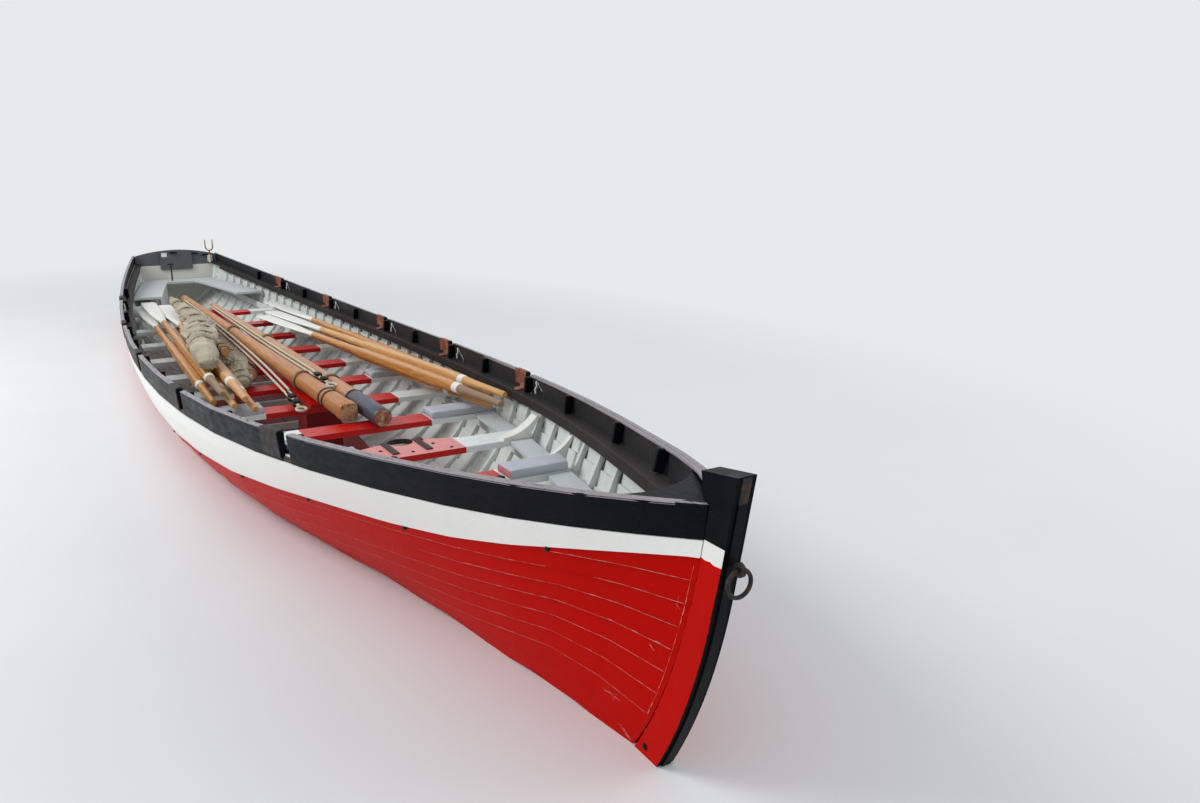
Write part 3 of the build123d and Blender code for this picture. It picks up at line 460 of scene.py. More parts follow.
class Nodes:
    """A shader's node tree, with short calls that add and link nodes."""

    def __init__(self, owner):
        owner.use_nodes = True
        self.tree = owner.node_tree

    def node(self, kind, inputs=(), **settings):
        made = self.tree.nodes.new(kind)
        for key, value in settings.items():
            setattr(made, key, value)
        for socket, value in zip(made.inputs, inputs):
            self.feed(socket, value)
        return made

    def feed(self, socket, value):
        """Links another node's output, or sets a value, where a colour has three numbers."""
        if isinstance(value, bpy.types.NodeSocket):
            self.tree.links.new(value, socket)
        elif value is not None:
            socket.default_value = (*value, 1) if socket.type == "RGBA" else value

    def math(self, operation, a, b=0.0):
        return self.node("ShaderNodeMath", [a, b], operation=operation).outputs[0]


class Paint(Nodes):
    """A node material: a Principled shader, with short calls for the patterns that feed it."""

    def __init__(self, name, roughness=0.5, shine=0.3):
        MATERIALS[name] = bpy.data.materials.new(name)
        super().__init__(MATERIALS[name])
        self.shader = self.tree.nodes["Principled BSDF"]
        self.set("Roughness", roughness)
        self.set("Specular IOR Level", shine)
        self.place = self.node("ShaderNodeTexCoord").outputs["Object"]
        self.x, self.y, self.z = self.node("ShaderNodeSeparateXYZ", [self.place]).outputs
        geometry = self.node("ShaderNodeNewGeometry")
        self.normal = self.node("ShaderNodeSeparateXYZ", [geometry.outputs["True Normal"]]).outputs

    def set(self, name, value):
        self.feed(self.shader.inputs[name], value)

    def colour(self, value):
        self.set("Base Color", value)

    def above(self, value, limit):
        return self.math("GREATER_THAN", value, limit)

    def span(self, value, low, high, to_low=0.0, to_high=1.0):
        return self.node("ShaderNodeMapRange", [value, low, high, to_low, to_high]).outputs[0]

    def noise(self, scale, stretch=(1, 1, 1), detail=5.0, rough=0.55, shift=0.0):
        mapping = self.node("ShaderNodeMapping", [self.place, (shift, shift, shift), None, stretch])
        return self.node("ShaderNodeTexNoise", [mapping.outputs[0], None, scale, detail, rough]).outputs[0]

    def patches(self, low, high, *texture, share=1.0, **more):
        """A noise turned into soft patches, from 0 under its low level to a share over its high one."""
        return self.span(self.noise(*texture, **more), low, high, 0.0, share)

    def ragged(self, value, reach, *texture, **more):
        """A coordinate moved a little by noise, for a brushed edge."""
        return self.math("ADD", value, self.span(self.noise(*texture, **more), 0, 1, -reach, reach))

    def gloss(self, low, high, *texture, **more):
        """Roughness that drifts between two values."""
        self.set("Roughness", self.span(self.noise(*texture, **more), 0.3, 0.7, low, high))

    def mix(self, share, a, b):
        made = self.node("ShaderNodeMix", data_type="RGBA")
        for number, value in ((0, share), (6, a), (7, b)):
            self.feed(made.inputs[number], value)
        return made.outputs[2]

    def relief(self, height, distance):
        """Bump of a height, over the bump that is there already."""
        made = self.node("ShaderNodeBump")
        self.feed(made.inputs["Strength"], 1.0)
        self.feed(made.inputs["Distance"], distance)
        self.feed(made.inputs["Height"], height)
        normal = self.shader.inputs["Normal"]
        if normal.is_linked:
            self.feed(made.inputs["Normal"], normal.links[0].from_socket)
        self.feed(normal, made.outputs[0])

    def bump(self, distance, *texture, **more):
        self.relief(self.noise(*texture, **more), distance)

    def outside(self):
        """1 on the outer faces of the planking, 0 on the inner ones."""
        x, y, z = self.normal
        across = self.math("MULTIPLY", self.math("SIGN", self.y), y)
        down = self.math("SUBTRACT", across, z)
        return self.above(self.math("ADD", down, self.math("MULTIPLY", x, 0.6)), 0.0)

    def worn(self, colours, patch=2.2, grain=(1, 9, 9), share=0.5):
        """Base colour with soft patches of a tint, brush grain and a little dirt."""
        base, tint, dirt = colours
        tinted = self.mix(self.patches(0.35, 0.7, patch, (0.5, 1, 1), share=share), base, tint)
        return self.mix(self.patches(0.52, 0.78, 14, grain, 7, 0.65, 3.0, share=0.35), tinted, dirt)


BACKDROP = (0.80, 0.81, 0.82)
SKY = (0.90, 0.95, 1.0)
SKY_STRENGTH = 0.62
# Base, tint and dirt of the main paints
RED = ((0.54, 0.003, 0.0005), (0.44, 0.004, 0.0015), (0.30, 0.008, 0.004))
WHITE = ((0.86, 0.85, 0.79), (0.74, 0.72, 0.66), (0.50, 0.48, 0.43))
INSIDE = ((0.72, 0.75, 0.72), (0.63, 0.67, 0.65), (0.38, 0.39, 0.34))
# The faint blue in the black's base and tint is painted sky reflection
BLACK = ((0.0030, 0.0035, 0.0045), (0.006, 0.008, 0.011), (0.025, 0.025, 0.026))
BROWN_BLACK = ((0.022, 0.018, 0.017), (0.042, 0.037, 0.037), (0.095, 0.080, 0.072))
CAP_GREY = (0.34, 0.31, 0.32)


def two_sided_paint(name, outer, chip=None):
    """Planking paint: its own colours outside the boat and the pale ones inside."""
    paint = Paint(name, shine=0.03)
    outside = paint.outside()
    skin = paint.worn(outer)
    if chip is not None:
        skin = paint.mix(paint.patches(0.70, 0.735, 34, (0.7, 1, 1.3), 6, 0.65, 9.0), skin, chip)
    paint.colour(paint.mix(outside, paint.worn(INSIDE), skin))
    grime = paint.span(paint.noise(30, (1, 4, 4), 6), 0.3, 0.7, 0.28, 0.44)
    paint.set("Roughness", paint.mix(outside, (0.62, 0.62, 0.62), grime))
    paint.bump(0.0006, 60, (0.25, 2, 2), 6)


def plain_paint(name, colours, roughness=0.4, patch=2.2, shine=0.2):
    paint = Paint(name, shine=shine)
    grain = (1, 9, 9)
    paint.colour(paint.worn(colours, patch, grain))
    paint.gloss(roughness - 0.08, roughness + 0.12, 25, grain, 6)
    paint.bump(0.0005, 60, grain, 6)


def wash_paint(name):
    """Black wash strake, greyer inside, with a worn grey top."""
    paint = Paint(name, shine=0.06)
    inner = paint.worn(((0.022, 0.022, 0.024), (0.038, 0.038, 0.040), (0.085, 0.080, 0.078)))
    body = paint.mix(paint.outside(), inner, paint.worn(BLACK, share=0.6))
    worn_top = paint.mix(paint.patches(0.5, 0.7, 18, (0.6, 6, 6)), CAP_GREY, (0.06, 0.06, 0.065))
    paint.colour(paint.mix(paint.above(paint.normal[2], 0.75), body, worn_top))
    paint.gloss(0.30, 0.5, 9, (1, 4, 4))
    paint.bump(0.0006, 50, (0.25, 2, 2), 6)


def thwart_paint(name, red_half, faded):
    """Red middle with a straight painted edge, and white ends."""
    paint = Paint(name)
    red = paint.worn((RED[0], (0.50, 0.012, 0.012), (0.34, 0.03, 0.03)), 3.0, (9, 1, 9))
    if faded:
        scratched = paint.patches(0.4, 0.75, 20, (7, 1, 7), 7)
        pink = paint.mix(scratched, (0.66, 0.20, 0.19), (0.74, 0.34, 0.32))
        red = paint.mix(paint.above(paint.normal[2], 0.8), red, pink)
    white = paint.worn(((0.78, 0.82, 0.80), (0.70, 0.74, 0.73), (0.45, 0.46, 0.42)), 3.0, (9, 1, 9))
    from_middle = paint.ragged(paint.math("ABSOLUTE", paint.y), 0.004, 40)
    paint.colour(paint.mix(paint.above(from_middle, red_half), red, white))
    paint.gloss(0.22, 0.42, 12, (6, 1, 6))
    paint.bump(0.0005, 60, (7, 1, 7), 6)


def stem_paint(name):
    """Red stem with a black front edge, a white piece in line with the sheer strake and a black head."""
    paint = Paint(name, shine=0.03)
    low, high, aft, fore = -0.33, 1.07, 4.9, 5.8
    curve = paint.node("ShaderNodeFloatCurve", [1.0, paint.span(paint.z, low, high)])
    points = curve.mapping.curves[0].points
    while len(points) < len(STEM_FRONT):
        points.new(0.5, 0.5)
    for point, (x, z) in zip(points, STEM_FRONT):
        point.location = ((z - low) / (high - low), (x - aft) / (fore - aft))
        point.handle_type = "AUTO"
    curve.mapping.update()
    front = paint.span(curve.outputs[0], 0, 1, aft - STEM_EDGE, fore - STEM_EDGE)
    black = paint.worn(BLACK, 6.0, share=0.7)
    white_foot = paint.ragged(paint.z, 0.012, 22, detail=3, shift=5)
    body = paint.mix(paint.above(white_foot, 0.785), paint.worn(RED), paint.worn(WHITE))
    body = paint.mix(paint.above(paint.z, 0.842), body, black)
    body = paint.mix(paint.math("LESS_THAN", paint.math("ABSOLUTE", paint.y), 0.0315), body, black)
    paint.colour(paint.mix(paint.math("GREATER_THAN", paint.ragged(paint.x, 0.004, 30), front), body, black))
    paint.gloss(0.26, 0.5, 14)
    paint.bump(0.0006, 60, (2, 2, 0.25), 6)


def varnish(name, dark, light, tint, roughness=0.32, painted_from=None):
    """Varnished spar wood with long grain, knots and worn places."""
    paint = Paint(name)
    along = (0.35, 9, 9)
    grain = paint.noise(16, along, 8, 0.6)
    wood = paint.mix(paint.span(grain, 0.36, 0.62), dark, light)
    wood = paint.mix(paint.patches(0.42, 0.66, 2.4, (0.4, 1, 1), 3, shift=8, share=0.8), wood, tint)
    specks = paint.patches(0.66, 0.74, 70, (0.3, 3, 3), 4, shift=2, share=0.6)
    wood = paint.mix(specks, wood, tuple(c * 0.35 for c in dark))
    if painted_from is not None:
        chips = paint.patches(0.60, 0.66, 26, (0.5, 2, 2), 5, shift=4)
        coat = paint.mix(chips, (0.055, 0.065, 0.095), (0.17, 0.05, 0.03))
        wood = paint.mix(paint.above(paint.ragged(paint.x, 0.02, 20), painted_from), wood, coat)
    paint.colour(wood)
    paint.gloss(roughness - 0.07, roughness + 0.14, 10, along)
    paint.relief(grain, 0.0008)


def end_grain(name, pale, dark):
    """Weathered butt ends: cracked grain, and worn red on the port mast."""
    paint = Paint(name, 0.6)
    grain = paint.mix(paint.patches(0.36, 0.62, 42, (1, 1, 1.6), 7), pale, dark)
    blotches = paint.patches(0.47, 0.55, 24, shift=2, share=0.8)
    port = paint.math("MULTIPLY", blotches, paint.above(paint.y, 0.0))
    worn = paint.mix(port, grain, (0.30, 0.045, 0.028))
    cracks = paint.patches(0.60, 0.64, 34, (1, 2.6, 0.7), 3, shift=5)
    paint.colour(paint.mix(cracks, worn, (0.035, 0.022, 0.014)))
    paint.bump(0.0012, 60, (1, 3, 1), 6)


def canvas(name):
    """Weathered tan cloth with a weave and stains."""
    paint = Paint(name, 0.9)
    base = paint.mix(paint.patches(0.35, 0.68, 6, detail=6), (0.33, 0.28, 0.20), (0.53, 0.46, 0.34))
    stains = paint.patches(0.52, 0.74, 3.2, (0.6, 1, 1.6), 6, shift=6, share=0.75)
    paint.colour(paint.mix(stains, base, (0.17, 0.14, 0.10)))
    paint.bump(0.006, 34, (0.5, 1.6, 1.6), 6)
    paint.bump(0.0006, 900, detail=2)
    paint.set("Sheen Weight", 0.15)


def rope_fibre(name, pale, dark):
    """Laid rope: the strands come from the wave across the line's length, and the grooves between them are
    darkened as painted shade.
    """
    paint = Paint(name, 0.85)
    uv = paint.node("ShaderNodeTexCoord").outputs["UV"]
    wave = paint.node("ShaderNodeTexWave", [uv, 1.0, 0.4, 2.0], bands_direction="DIAGONAL").outputs[1]
    # Colour follows the strand wave, so the grooves between strands are darkened as painted shade
    paint.colour(paint.mix(wave, dark, paint.mix(paint.patches(0.35, 0.7, 60), pale, dark)))
    paint.relief(wave, 0.0015)


def metal(name, base, rust, roughness=0.5):
    paint = Paint(name)
    rusted = paint.patches(0.48, 0.68, 45, detail=7)
    paint.colour(paint.mix(rusted, base, rust))
    paint.set("Roughness", paint.span(rusted, 0, 1, roughness, roughness + 0.25))
    paint.set("Metallic", 0.7)
    paint.bump(0.0006, 120, detail=6)


def leather_hide(name):
    """Leather, red-brown as lit on the port side, and darkened nearly to black on the starboard side as
    painted shade.
    """
    paint = Paint(name)
    base = paint.mix(paint.patches(0.36, 0.66, 20, detail=6), (0.15, 0.040, 0.020), (0.29, 0.090, 0.050))
    rubbed = paint.patches(0.55, 0.7, 7, shift=3, share=0.6)
    port = paint.mix(rubbed, base, (0.38, 0.17, 0.11))
    # The starboard leathers are darkened nearly to black as painted shade; the port ones keep the lit
    # red-brown
    starboard = paint.mix(rubbed, (0.018, 0.013, 0.011), (0.050, 0.038, 0.030))
    paint.colour(paint.mix(paint.above(paint.y, 0.0), starboard, port))
    paint.gloss(0.45, 0.7, 30)
    paint.bump(0.0008, 260, detail=4)


def pad_cover(name):
    """Coated foam pad: grey-lavender with scuffs, and a pink inner end on the foremost ones."""
    paint = Paint(name)
    base = paint.mix(paint.patches(0.38, 0.66, 5), (0.40, 0.42, 0.47), (0.53, 0.55, 0.61))
    scuffs = paint.patches(0.6, 0.7, 45, (3, 1, 1), 7, shift=4, share=0.5)
    cover = paint.mix(scuffs, base, (0.62, 0.63, 0.66))
    facing = paint.math("MULTIPLY", paint.math("SIGN", paint.y), paint.normal[1])
    pink = paint.math("MULTIPLY", paint.math("LESS_THAN", facing, -0.7), paint.above(paint.x, 3.7))
    paint.colour(paint.mix(pink, cover, (0.52, 0.20, 0.22)))
    paint.gloss(0.55, 0.75, 40)
    paint.bump(0.0006, 420, detail=3)


def seam_filler(name):
    """Pale pink filler and dust that shows where paint has cracked along the lands."""
    paint = Paint(name, 0.7)
    dust = paint.patches(0.36, 0.64, 70, (0.4, 1, 1), 6)
    paint.colour(paint.mix(dust, (0.60, 0.10, 0.08), (0.72, 0.38, 0.33)))
    paint.bump(0.0004, 300, detail=3)


def floor_paint(name):
    """Pale studio floor that fades into the backdrop away from the boat."""
    paint = Paint(name, 0.8, 0.2)
    paint.colour(paint.mix(paint.patches(0.3, 0.7, 0.8, detail=3), (0.785, 0.79, 0.795), (0.81, 0.815, 0.82)))
    along = paint.math("MULTIPLY", paint.x, 0.5)
    squares = [paint.math("MULTIPLY", a, a) for a in (along, paint.y)]
    away = paint.math("SQRT", paint.math("ADD", *squares))
    glow = paint.node("ShaderNodeEmission", [BACKDROP, 1.0])
    share = paint.node("ShaderNodeMapRange", [away, 2.2, 7.0], interpolation_type="SMOOTHSTEP")
    blended = paint.node("ShaderNodeMixShader", [share.outputs[0], paint.shader.outputs[0], glow.outputs[0]])
    paint.feed(paint.tree.nodes["Material Output"].inputs[0], blended.outputs[0])


def make_materials():
    two_sided_paint("red_planks", RED, chip=(0.58, 0.11, 0.08))
    two_sided_paint("white_plank", WHITE)
    wash_paint("wash_strake_paint")
    stem_paint("stem_paint")
    plain_paint("black_paint", BLACK, 0.42, shine=0.08)
    plain_paint("brown_black_paint", BROWN_BLACK, 0.5, shine=0.1)
    plain_paint("worn_cap_paint", (CAP_GREY, (0.24, 0.21, 0.21), (0.05, 0.045, 0.045)), 0.55, patch=7.0)
    plain_paint("dark_grey_paint", ((0.085, 0.088, 0.098), (0.105, 0.108, 0.118), (0.17, 0.17, 0.17)), 0.45)
    plain_paint("pale_inside_paint", INSIDE, 0.5)
    plain_paint("cream_paint", ((0.62, 0.61, 0.53), (0.54, 0.54, 0.48), INSIDE[2]), 0.5)
    plain_paint("bench_paint", ((0.60, 0.63, 0.63), (0.50, 0.54, 0.55), INSIDE[2]), 0.42)
    plain_paint("white_paint", WHITE)
    plain_paint("clean_white_paint", ((0.94, 0.94, 0.90), (0.89, 0.89, 0.84), (0.78, 0.76, 0.70)), 0.36)
    plain_paint("red_paint", RED, 0.3)
    plain_paint("burgundy_paint", ((0.27, 0.014, 0.020), (0.21, 0.014, 0.018), (0.12, 0.025, 0.025)), 0.42)
    # Near-black paint for the painted shade in the slots beside the ribs
    plain_paint("slot_shadow", ((0.035, 0.038, 0.036), (0.05, 0.052, 0.05), (0.02, 0.02, 0.02)), 0.8)
    varnish("foremast_varnish", (0.34, 0.115, 0.030), (0.62, 0.30, 0.115), (0.43, 0.155, 0.050))
    varnish("mainmast_varnish", (0.37, 0.15, 0.06), (0.64, 0.34, 0.165), (0.47, 0.21, 0.10),
            painted_from=PAINTED_BUTT)
    varnish("yard_varnish", (0.36, 0.16, 0.07), (0.58, 0.30, 0.15), (0.46, 0.24, 0.13))
    varnish("oar_varnish", (0.38, 0.125, 0.022), (0.70, 0.34, 0.095), (0.56, 0.25, 0.075), 0.26)
    varnish("pale_oar_varnish", (0.48, 0.215, 0.060), (0.78, 0.46, 0.185), (0.64, 0.35, 0.13), 0.3)
    varnish("handle_wood", (0.22, 0.15, 0.095), (0.36, 0.26, 0.17), (0.30, 0.18, 0.10), 0.55)
    end_grain("end_grain", (0.50, 0.34, 0.19), (0.29, 0.165, 0.080))
    canvas("weathered_canvas")
    rope_fibre("cream_rope", (0.82, 0.77, 0.64), (0.52, 0.46, 0.34))
    rope_fibre("white_cord", (0.90, 0.90, 0.86), (0.66, 0.65, 0.60))
    rope_fibre("old_rope", (0.42, 0.34, 0.22), (0.19, 0.14, 0.085))
    metal("rusty_iron", (0.020, 0.019, 0.019), (0.22, 0.13, 0.06))
    metal("weathered_iron", (0.030, 0.030, 0.032), (0.11, 0.060, 0.038))
    metal("weathered_bronze", (0.30, 0.17, 0.06), (0.16, 0.12, 0.07), 0.4)
    leather_hide("oar_leather")
    pad_cover("pad_cover")
    seam_filler("seam_filler")


NODE_PAINTS = {
    "red_planks": [f"strake_{k + 1:02d}" for k in range(RED_STRAKES)],
    "white_plank": ["sheer_strake"],
    "wash_strake_paint": ["wash_strake_port", "wash_strake_starboard"],
    "stem_paint": ["stem"],
    "red_paint": ["keel", "sternpost", "gangboard"],
    "brown_black_paint": ["inwales"],
    "cream_paint": ["transom", "crutch_socket"],
    "dark_grey_paint": ["transom_board", "transom_backboard"],
    "black_paint": ["stem_band", "breasthook"],
    "pale_inside_paint": ["risers", "foot_stretchers"],
    "white_paint": ["thwart_knees"],
    "bench_paint": ["side_shelves", "stern_benches"],
    "burgundy_paint": ["floorboards", "mast_trunk"],
    "pad_cover": ["thwart_pads"],
    "oar_leather": ["oar_leathers"],
    "yard_varnish": ["yards"],
    "weathered_bronze": ["stern_crutch"],
    "weathered_iron": ["rudder_gudgeons", "ring_eye", "mooring_ring", "stern_pin", "foremast_gate",
                       "mast_straps"],
}


def dress_nodes():
    """Gives each kept CAD node its material."""
    for paint, names in NODE_PAINTS.items():
        for name in names:
            wear(NODES[name], paint)
    for i, red_half in enumerate(RED_HALF_LENGTHS):
        name = f"thwart_{i + 1:02d}"
        thwart_paint(f"{name}_paint", red_half, i == MAST_THWART)
        wear(NODES[name], f"{name}_paint")


def wear(thing, paint):
    thing.data.materials.clear()
    thing.data.materials.append(MATERIALS[paint])


# Mesh helpers

def edit(made, change):
    """Runs a change on a piece's mesh."""
    mesh = bmesh.new()
    mesh.from_mesh(made.data)
    change(mesh)
    mesh.to_mesh(made.data)
    mesh.free()


def face_out(mesh):
    bmesh.ops.recalc_face_normals(mesh, faces=mesh.faces)


def weld(mesh):
    bmesh.ops.remove_doubles(mesh, verts=mesh.verts, dist=0.00001)
    face_out(mesh)


def crease(made, angle=35):
    """Keeps edges sharper than the angle, in degrees."""
    def mark(mesh):
        for edge in mesh.edges:
            if len(edge.link_faces) == 2 and edge.calc_face_angle(0) > math.radians(angle):
                edge.smooth = False

    edit(made, mark)


class Shape:
    """Gathers the vertices and faces of one piece."""

    def __init__(self):
        self.verts = []
        self.faces = []
        self.uvs = []
        self.kinds = []

    def add_face(self, corners, kind):
        self.faces.append(tuple(corners))
        self.kinds.append(kind)

    def rings(self, rings, closed=False, caps=True, kind=0, lengthwise=None):
        """Skins rings of equal count, joined end to end if closed. Caps may be a pair of kinds."""
        start, count = len(self.verts), len(rings[0])
        for j, ring in enumerate(rings):
            self.verts += [Vector(point) for point in ring]
            self.uvs += [(lengthwise[j] if lengthwise else j, i / count) for i in range(count)]
        for j in range(len(rings) if closed else len(rings) - 1):
            low, high = start + j * count, start + (j + 1) % len(rings) * count
            for i in range(count):
                n = (i + 1) % count
                self.add_face((low + i, low + n, high + n, high + i), kind)
        if caps and not closed:
            first, last = caps if isinstance(caps, tuple) else (kind, kind)
            self.add_face(reversed(range(start, start + count)), first)
            self.add_face(range(len(self.verts) - count, len(self.verts)), last)

    def both_sides(self, rings):
        """Skins port rings, then their mirror image."""
        for side in (1, -1):
            self.rings([[on_side(p, side) for p in ring] for ring in rings])

    def strip(self, lines):
        """An open sheet between neighbouring lines of equal count."""
        start, count = len(self.verts), len(lines[0])
        for line in lines:
            self.verts += [Vector(p) for p in line]
            self.uvs += [(0, 0)] * count
        for j in range(len(lines) - 1):
            for i in range(count - 1):
                a = start + j * count + i
                self.add_face((a, a + 1, a + count + 1, a + count), 0)

    def make(self, name, paints, slot, smooth=True, stands_for=None):
        """The finished piece, fixed to the hull, in place of a CAD node if one is named. The slot is not
        used.
        """
        data = bpy.data.meshes.new(name)
        data.from_pydata([tuple(v) for v in self.verts], [], self.faces)
        for paint in paints:
            data.materials.append(MATERIALS[paint])
        data.polygons.foreach_set("material_index", self.kinds)
        data.polygons.foreach_set("use_smooth", [smooth] * len(self.faces))
        layer = data.uv_layers.new(name="uv")
        for loop in data.loops:
            layer.data[loop.index].uv = self.uvs[loop.vertex_index]
        made = bpy.data.objects.new(name, data)
        bpy.context.scene.collection.objects.link(made)
        edit(made, face_out)
        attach(made, "hull")
        if stands_for:
            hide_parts(stands_for)
        return made


def frames_along(path, closed=False):
    """Two unit vectors across the path at each of its points, turning as little as possible."""
    count = len(path)
    across = None
    frames = []
    for i in range(count):
        ahead = path[(i + 1) % count] if closed or i + 1 < count else path[i]
        behind = path[i - 1] if closed or i > 0 else path[i]
        along = (ahead - behind).normalized()
        if across is None:
            across = along.orthogonal().normalized()
        across = (across - along * across.dot(along)).normalized()
        frames.append((across, along.cross(across)))
    return frames


def add_tube(shape, path, radius, sides=8, closed=False, twist=40.0):
    """A round tube along a path. The twist is the length of its texture to a metre."""
    lengths = [0.0]
    for a, b in zip(path, path[1:]):
        lengths.append(lengths[-1] + (b - a).length)
    rings = [[point + u * (radius * math.cos(a)) + v * (radius * math.sin(a)) for a in circle(sides)]
             for point, (u, v) in zip(path, frames_along(path, closed))]
    shape.rings(rings, closed, lengthwise=[length * twist for length in lengths])


def rounded_ring(centre, across, rise, width, height, roundness=1.0, count=24):
    """A section from square (0) to round (1) in the plane of across and rise."""
    power = lerp(6.0, 2.0, roundness)
    ring = []
    for a in circle(count):
        c, s = math.cos(a), math.sin(a)
        reach = (abs(c)**power + abs(s)**power)**(-1 / power)
        ring.append(centre + across * (width / 2 * reach * c) + rise * (height / 2 * reach * s))
    return ring


def add_box(shape, centre, axes, sizes, bevel=0.003):
    """A block with chamfered edges. Axes are three unit vectors, sizes its full lengths."""
    x, y, z = (a * s / 2 for a, s in zip(axes, sizes))
    cut = [min(1.0, bevel / (s / 2)) for s in sizes]
    rings = []
    for w, inset in ((-1, 1), (-1 + cut[2], 0), (1 - cut[2], 0), (1, 1)):
        a, b = 1 - cut[0] * inset, 1 - cut[1] * inset
        corners = [(a, b - cut[1]), (a - cut[0], b), (cut[0] - a, b), (-a, b - cut[1]),
                   (-a, cut[1] - b), (cut[0] - a, -b), (a - cut[0], -b), (a, cut[1] - b)]
        rings.append([centre + x * i + y * j + z * w for i, j in corners])
    shape.rings(rings)


def add_dome(shape, centre, out, radius, height, kind=0):
    """A low domed head standing on a surface with the given outward direction."""
    out = out.normalized()
    across = out.orthogonal().normalized()
    rise = out.cross(across)
    section = [(-0.001, radius), (height * 0.55, radius * 0.86), (height, radius * 0.4)]
    rings = [rounded_ring(centre + out * h, across, rise, 2 * r, 2 * r, count=10) for h, r in section]
    shape.rings(rings, kind=kind)


def spar_axes(butt, tip):
    along = (tip - butt).normalized()
    across = Z.cross(along).normalized()
    return along, across, along.cross(across)


def spar_radius(spar, distance):
    butt, tip, big, small = spar
    return lerp(big, small, distance / (tip - butt).length)


def spar_ring(spar, distance, radius, roundness=1.0, count=32):
    along, across, rise = spar_axes(spar[0], spar[1])
    return rounded_ring(spar[0] + along * distance, across, rise, 2 * radius, 2 * radius, roundness, count)


# Gear

def oar_section(distance):
    """Width, height and roundness of an oar at a distance from its handle's end."""
    for a, b in zip(OAR_SECTIONS, OAR_SECTIONS[1:]):
        if distance <= b[0]:
            share = (distance - a[0]) / (b[0] - a[0])
            return [lerp(p, q, share) for p, q in zip(a[1:], b[1:])]


def make_oars():
    """Oars with a round handle, square loom, round shaft and thin blade, each with a white collar."""
    for group, rows in OARS.items():
        for n, (x, y, height, tip_y, tip_height) in enumerate(rows):
            tip_x = x - math.sqrt(OAR_LENGTH**2 - (y - tip_y)**2)
            handle = Vector((x, y, thwart_top(x) + height))
            tip = Vector((tip_x, tip_y, thwart_top(tip_x) + tip_height))
            along, across, rise = spar_axes(handle, tip)
            shape = Shape()
            zones = []
            for low, high in OAR_ZONES:
                stops = sorted({low, high} | {row[0] for row in OAR_SECTIONS if low < row[0] < high})
                zones.append([(d, *oar_section(d)) for d in stops])
            zones.append([(d, w, w) for d, w in OAR_COLLAR])
            for kind, stops in zip((0, 1, 2, 2), zones):
                rings = [rounded_ring(handle + along * d, across, rise, *size) for d, *size in stops]
                shape.rings(rings, kind=kind)
            wood = "pale_oar_varnish" if n in PALE_OARS else "oar_varnish"
            grip = "handle_wood" if n == WEATHERED_HANDLE else wood
            paints = [grip, wood, "white_paint"]
            crease(shape.make(f"{group}_{n + 1}", paints, "oar_varnish", stands_for=group))


def make_mast(name, mast, paint, heel):
    """A mast with its heel end cut, tapering to the tip."""
    butt, tip, big, small = mast
    length = (tip - butt).length
    rings = [spar_ring(mast, distance, big * share, roundness) for distance, share, roundness in heel]
    steps = 30
    for share in (i / steps for i in range(1, steps + 1)):
        uneven = 1 + 0.004 * math.sin(9 * share)
        rings.append(spar_ring(mast, lerp(0.14, length - 0.02, share), lerp(big, small, share) * uneven))
    rings += [spar_ring(mast, length - 0.004, small * 0.8), spar_ring(mast, length, small * 0.55)]
    shape = Shape()
    shape.rings(rings, caps=(1, 0))
    crease(shape.make(name + "_spar", [paint, "end_grain"], "mast_varnish", stands_for=name), 50)


def make_mast_bands():
    """Iron bands and rope turns round the masts."""
    bands, turns = Shape(), Shape()
    half, thin, thick = 0.013, 0.0005, 0.004
    for mast, distance in BAND_PLACES:
        radius = spar_radius(mast, distance)
        section = [(-half, thin), (-half, thick), (half, thick), (half, thin)]
        bands.rings([spar_ring(mast, distance + d, radius + r) for d, r in section], caps=False)
    bands.make("mast_bands", ["weathered_iron"], "iron")
    steps, pitch = 24, 0.014
    for mast, distance, count in ROPE_TURNS:
        along, across, rise = spar_axes(mast[0], mast[1])
        radius = spar_radius(mast, distance) + MAST_ROPE_RADIUS + 0.001
        path = []
        for i in range(steps * count + 1):
            a = 2 * math.pi * i / steps
            here = mast[0] + along * (distance + pitch * i / steps)
            path.append(here + across * (radius * math.cos(a)) + rise * (radius * math.sin(a)))
        add_tube(turns, path, MAST_ROPE_RADIUS)
    turns.make("mast_rope_turns", ["old_rope"], "canvas")


def make_halyards():
    """Doubled lines laid along the masts, each ending in a small block with a spliced eye."""
    lines, blocks = Shape(), Shape()
    for points in HALYARDS:
        add_tube(lines, smooth_path(points, 20), HALYARD_RADIUS, twist=60)
    for place, direction in BLOCKS:
        place, along = Vector(place), Vector(direction).normalized()
        side = along.cross(Z).normalized()
        up = side.cross(along)
        eye = place + along * 0.27
        loop = [eye + along * (0.040 * math.cos(a)) + side * (0.030 * math.sin(a)) for a in circle(20)]
        add_tube(lines, loop, SPLICE_RADIUS, closed=True)
        add_tube(lines, [place + along * d for d in (-0.02, 0.08, 0.23)], SERVING_RADIUS)
        for bend in (-1, 1):
            bends = [(-0.16, 0.012), (-0.08, 0.018), (0.02, 0.010)]
            tail = [place + along * d + side * (w * bend) for d, w in bends]
            add_tube(lines, smooth_path(tail, 6), TAIL_RADIUS)
        for centre in (place, place + along * 0.13):
            for cheek in (-up, up):
                blocks.rings([rounded_ring(centre + cheek * h, along, side,
                                           BLOCK_LENGTH * g, BLOCK_WIDTH * g, count=20)
                              for h, g in BLOCK_CHEEK])
            blocks.rings([rounded_ring(centre + up * h, along, side, SHEAVE, SHEAVE, count=16)
                          for h in (-0.007, 0.007)], kind=1)
    lines.make("halyards", ["cream_rope"], "canvas")
    blocks.make("halyard_blocks", ["black_paint", "weathered_bronze"], "black_paint")


def sail_section(rows, share):
    """Centre, width and height of a roll at a share of its length, on a smooth line through its rows."""
    place = share * (len(rows) - 1)
    i = min(int(place), len(rows) - 2)
    near = rows[max(i - 1, 0)], rows[i], rows[i + 1], rows[min(i + 2, len(rows) - 1)]
    return [spline(*values, place - i) for values in zip(*near)]


